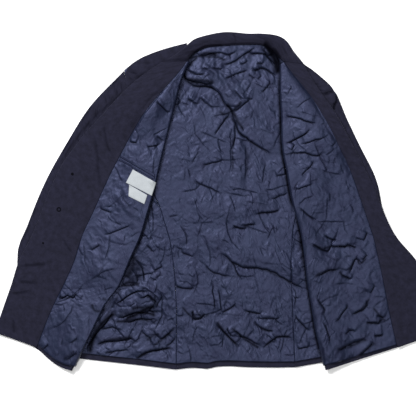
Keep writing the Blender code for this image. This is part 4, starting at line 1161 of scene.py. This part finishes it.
def solid_copy(node, slot, levels=0, folds=()):
    """A CAD solid's own faces in cloth, with the facets of its bends softened."""
    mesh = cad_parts[node].data.copy()
    mesh.materials.clear()
    form = bmesh.new()
    form.from_mesh(mesh)
    bmesh.ops.remove_doubles(form, verts=form.verts[:], dist=1e-6)
    sharp = form.edges.layers.float.get("crease_edge") or form.edges.layers.float.new("crease_edge")
    for edge in form.edges:
        cut = len(edge.link_faces) == 2 and edge.calc_face_angle() > 1.05
        edge[sharp] = 1.0 if cut else 0.0
        edge.smooth = not cut
    form.to_mesh(mesh)
    form.free()
    obj = bpy.data.objects.new("cloth_" + node, mesh)
    if levels:
        rounder = obj.modifiers.new("rounder", "SUBSURF")
        rounder.levels = levels
        rounder.render_levels = levels
        bpy.context.scene.collection.objects.link(obj)
        bpy.context.view_layer.update()
        graph = bpy.context.evaluated_depsgraph_get()
        shaped = bpy.data.meshes.new_from_object(obj.evaluated_get(graph))
        bpy.context.scene.collection.objects.unlink(obj)
        obj.modifiers.clear()
        obj.data = shaped
    count = len(obj.data.vertices)
    place = np.empty(count * 3, np.float32)
    obj.data.vertices.foreach_get("co", place)
    place = place.reshape(-1, 3).astype(float)
    # Painted shade in the creases, read by the cloth's material.
    painted_slit_shades = obj.data.attributes.new("painted_slit_shade", "FLOAT", "POINT")
    if folds:
        sheet = with_painted_slit_shades(place[None] / MM - (0, SHIFT_Y, 0))
        creases(sheet, np.ones(sheet.shape[:2]), folds, 91, 0.8)
        # Painted shade beside the left front's roll.
        paint_crevice_shade(sheet, ROLL_PAINTED_CREVICE_SHADE)
        painted_slit_shades.data.foreach_set("value", sheet[0, :, 3])
        place = (sheet[0, :, :3] + (0, SHIFT_Y, 0)) * MM
        obj.data.vertices.foreach_set("co", place.astype(np.float32).reshape(-1))
    uv = obj.data.uv_layers.get("cloth") or obj.data.uv_layers.new(name="cloth")
    corners = np.empty(len(obj.data.loops), np.int32)
    obj.data.loops.foreach_get("vertex_index", corners)
    uv.data.foreach_set("uv", place[corners][:, :2].astype(np.float32).reshape(-1))
    put(obj, slot, node)
    if slot == "navy_button":
        return
    box_low, box_high = place.min(axis=0), place.max(axis=0)
    area = sum(face.area for face in obj.data.polygons) / 2
    wide, long = box_high[0] - box_low[0], box_high[1] - box_low[1]
    if wide * long < area:
        long = area / wide * 1.01
    area = max(area, LEAST_AREA * wide * long)


for node in (
    "shell_back", "shell_side_left", "shell_side_right", "hem_back", "hem_side_left", "hem_side_right",
):
    solid_copy(node, "navy_wool")
for node in ("hem_front_left", "hem_front_right"):
    solid_copy(node, "navy_wool", 1)
solid_copy("collar_fall", "navy_wool", 1)
solid_copy("shell_front_left", "navy_wool", 2, SLEEVE_LEFT_FOLDS)
solid_copy("shell_front_right", "navy_wool", 2, SLEEVE_RIGHT_FOLDS)
for node in ("button_1", "button_2", "button_3"):
    solid_copy(node, "navy_button")


def on_lining(name, corners, slot, node, thick, columns, rows):
    """A small cloth on the left front's lining, following it."""
    top_left, top_right, low_left, low_right = np.array(corners, float)
    u = np.linspace(0, 1, columns)[None, :, None]
    v = np.linspace(0, 1, rows)[:, None, None]
    flat = (top_left * (1 - u) + top_right * u) * (1 - v) + (low_left * (1 - u) + low_right * u) * v
    plain = joined(flat, softened(heights(tree_of(node), flat, 1), 6))
    under = tree_over([bpy.data.objects["front_lining_left"].data])
    points = kept_between(plain, under, None, thick)
    lay(name, points, plain, slot, node, thick)


for node, *corners in POCKET_JETS:
    on_lining("lip_" + node.split("_")[-1], corners, "navy_satin", node, 0.9, 40, 6)
for node, *corners in LABELS:
    on_lining("bare_" + node, corners, "white_label", node, 0.8 if node == "label" else 0.5, 30, 26)


def thread_mark(number, x, y, across, thick):
    """Stitches that hold a button, seen on the facing."""
    cloth = tree_over([bpy.data.objects["front_facing_left"].data])
    z = heights(cloth, np.array([[x, y]], float), 1)[0] * MM
    bpy.ops.mesh.primitive_torus_add(
        major_radius=across / 2 * MM, minor_radius=thick * MM, major_segments=24, minor_segments=8,
        location=(x * MM, (y + SHIFT_Y) * MM, z + 0.4 * MM),
    )
    ring = bpy.context.object
    ring.name = "thread_ring_" + str(number)
    ring.data.materials.append(THREAD)
    ring.data.shade_smooth()
    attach(ring, "root")


for number, (x, y, across, thick) in enumerate(THREAD_MARKS, 1):
    thread_mark(number, x, y, across, thick)

# Plain pale floor, soft studio light and a camera straight above.
VIEW_X, VIEW_Y = -20.7, -15.1
VIEW_WIDTH = 953.3
CAMERA_HEIGHT = 2600.0
VIEW_LEVEL = 10.0  # height at which the picture is as wide as this
bpy.ops.mesh.primitive_plane_add(size=14, location=(0, 0, -0.0004))
floor = bpy.context.object
floor.name = "floor"
paper = bpy.data.materials.new("white_paper_backdrop_matt")
paper.use_nodes = True
paper.node_tree.nodes["Principled BSDF"].inputs["Base Color"].default_value = to_linear("#f6f6f6")
paper.node_tree.nodes["Principled BSDF"].inputs["Roughness"].default_value = 0.9
floor.data.materials.append(paper)


def softbox(name, place, size, power):
    """A square studio light, aimed at the jacket's middle."""
    light = bpy.data.lights.new(name, "AREA")
    light.size = size
    light.energy = power
    obj = bpy.data.objects.new(name, light)
    obj.location = place
    obj.rotation_euler = (-Vector(place)).to_track_quat("-Z", "Y").to_euler()
    bpy.context.scene.collection.objects.link(obj)


softbox("key_softbox", (-1.3, 1.9, 3.0), 1.1, 190)
softbox("top_softbox", (0.2, -0.2, 3.6), 2.4, 85)

world = bpy.data.worlds.new("studio")
world.use_nodes = True
world.node_tree.nodes["Background"].inputs["Color"].default_value = (1, 1, 1, 1)
world.node_tree.nodes["Background"].inputs["Strength"].default_value = 0.12
bpy.context.scene.world = world
bpy.context.scene.view_settings.view_transform = "Standard"

camera_data = bpy.data.cameras.new("camera")
camera_data.lens = camera_data.sensor_width * (CAMERA_HEIGHT - VIEW_LEVEL) / VIEW_WIDTH
camera = bpy.data.objects.new("camera", camera_data)
camera.location = (VIEW_X * MM, VIEW_Y * MM, CAMERA_HEIGHT * MM)
bpy.context.scene.collection.objects.link(camera)
bpy.context.scene.camera = camera
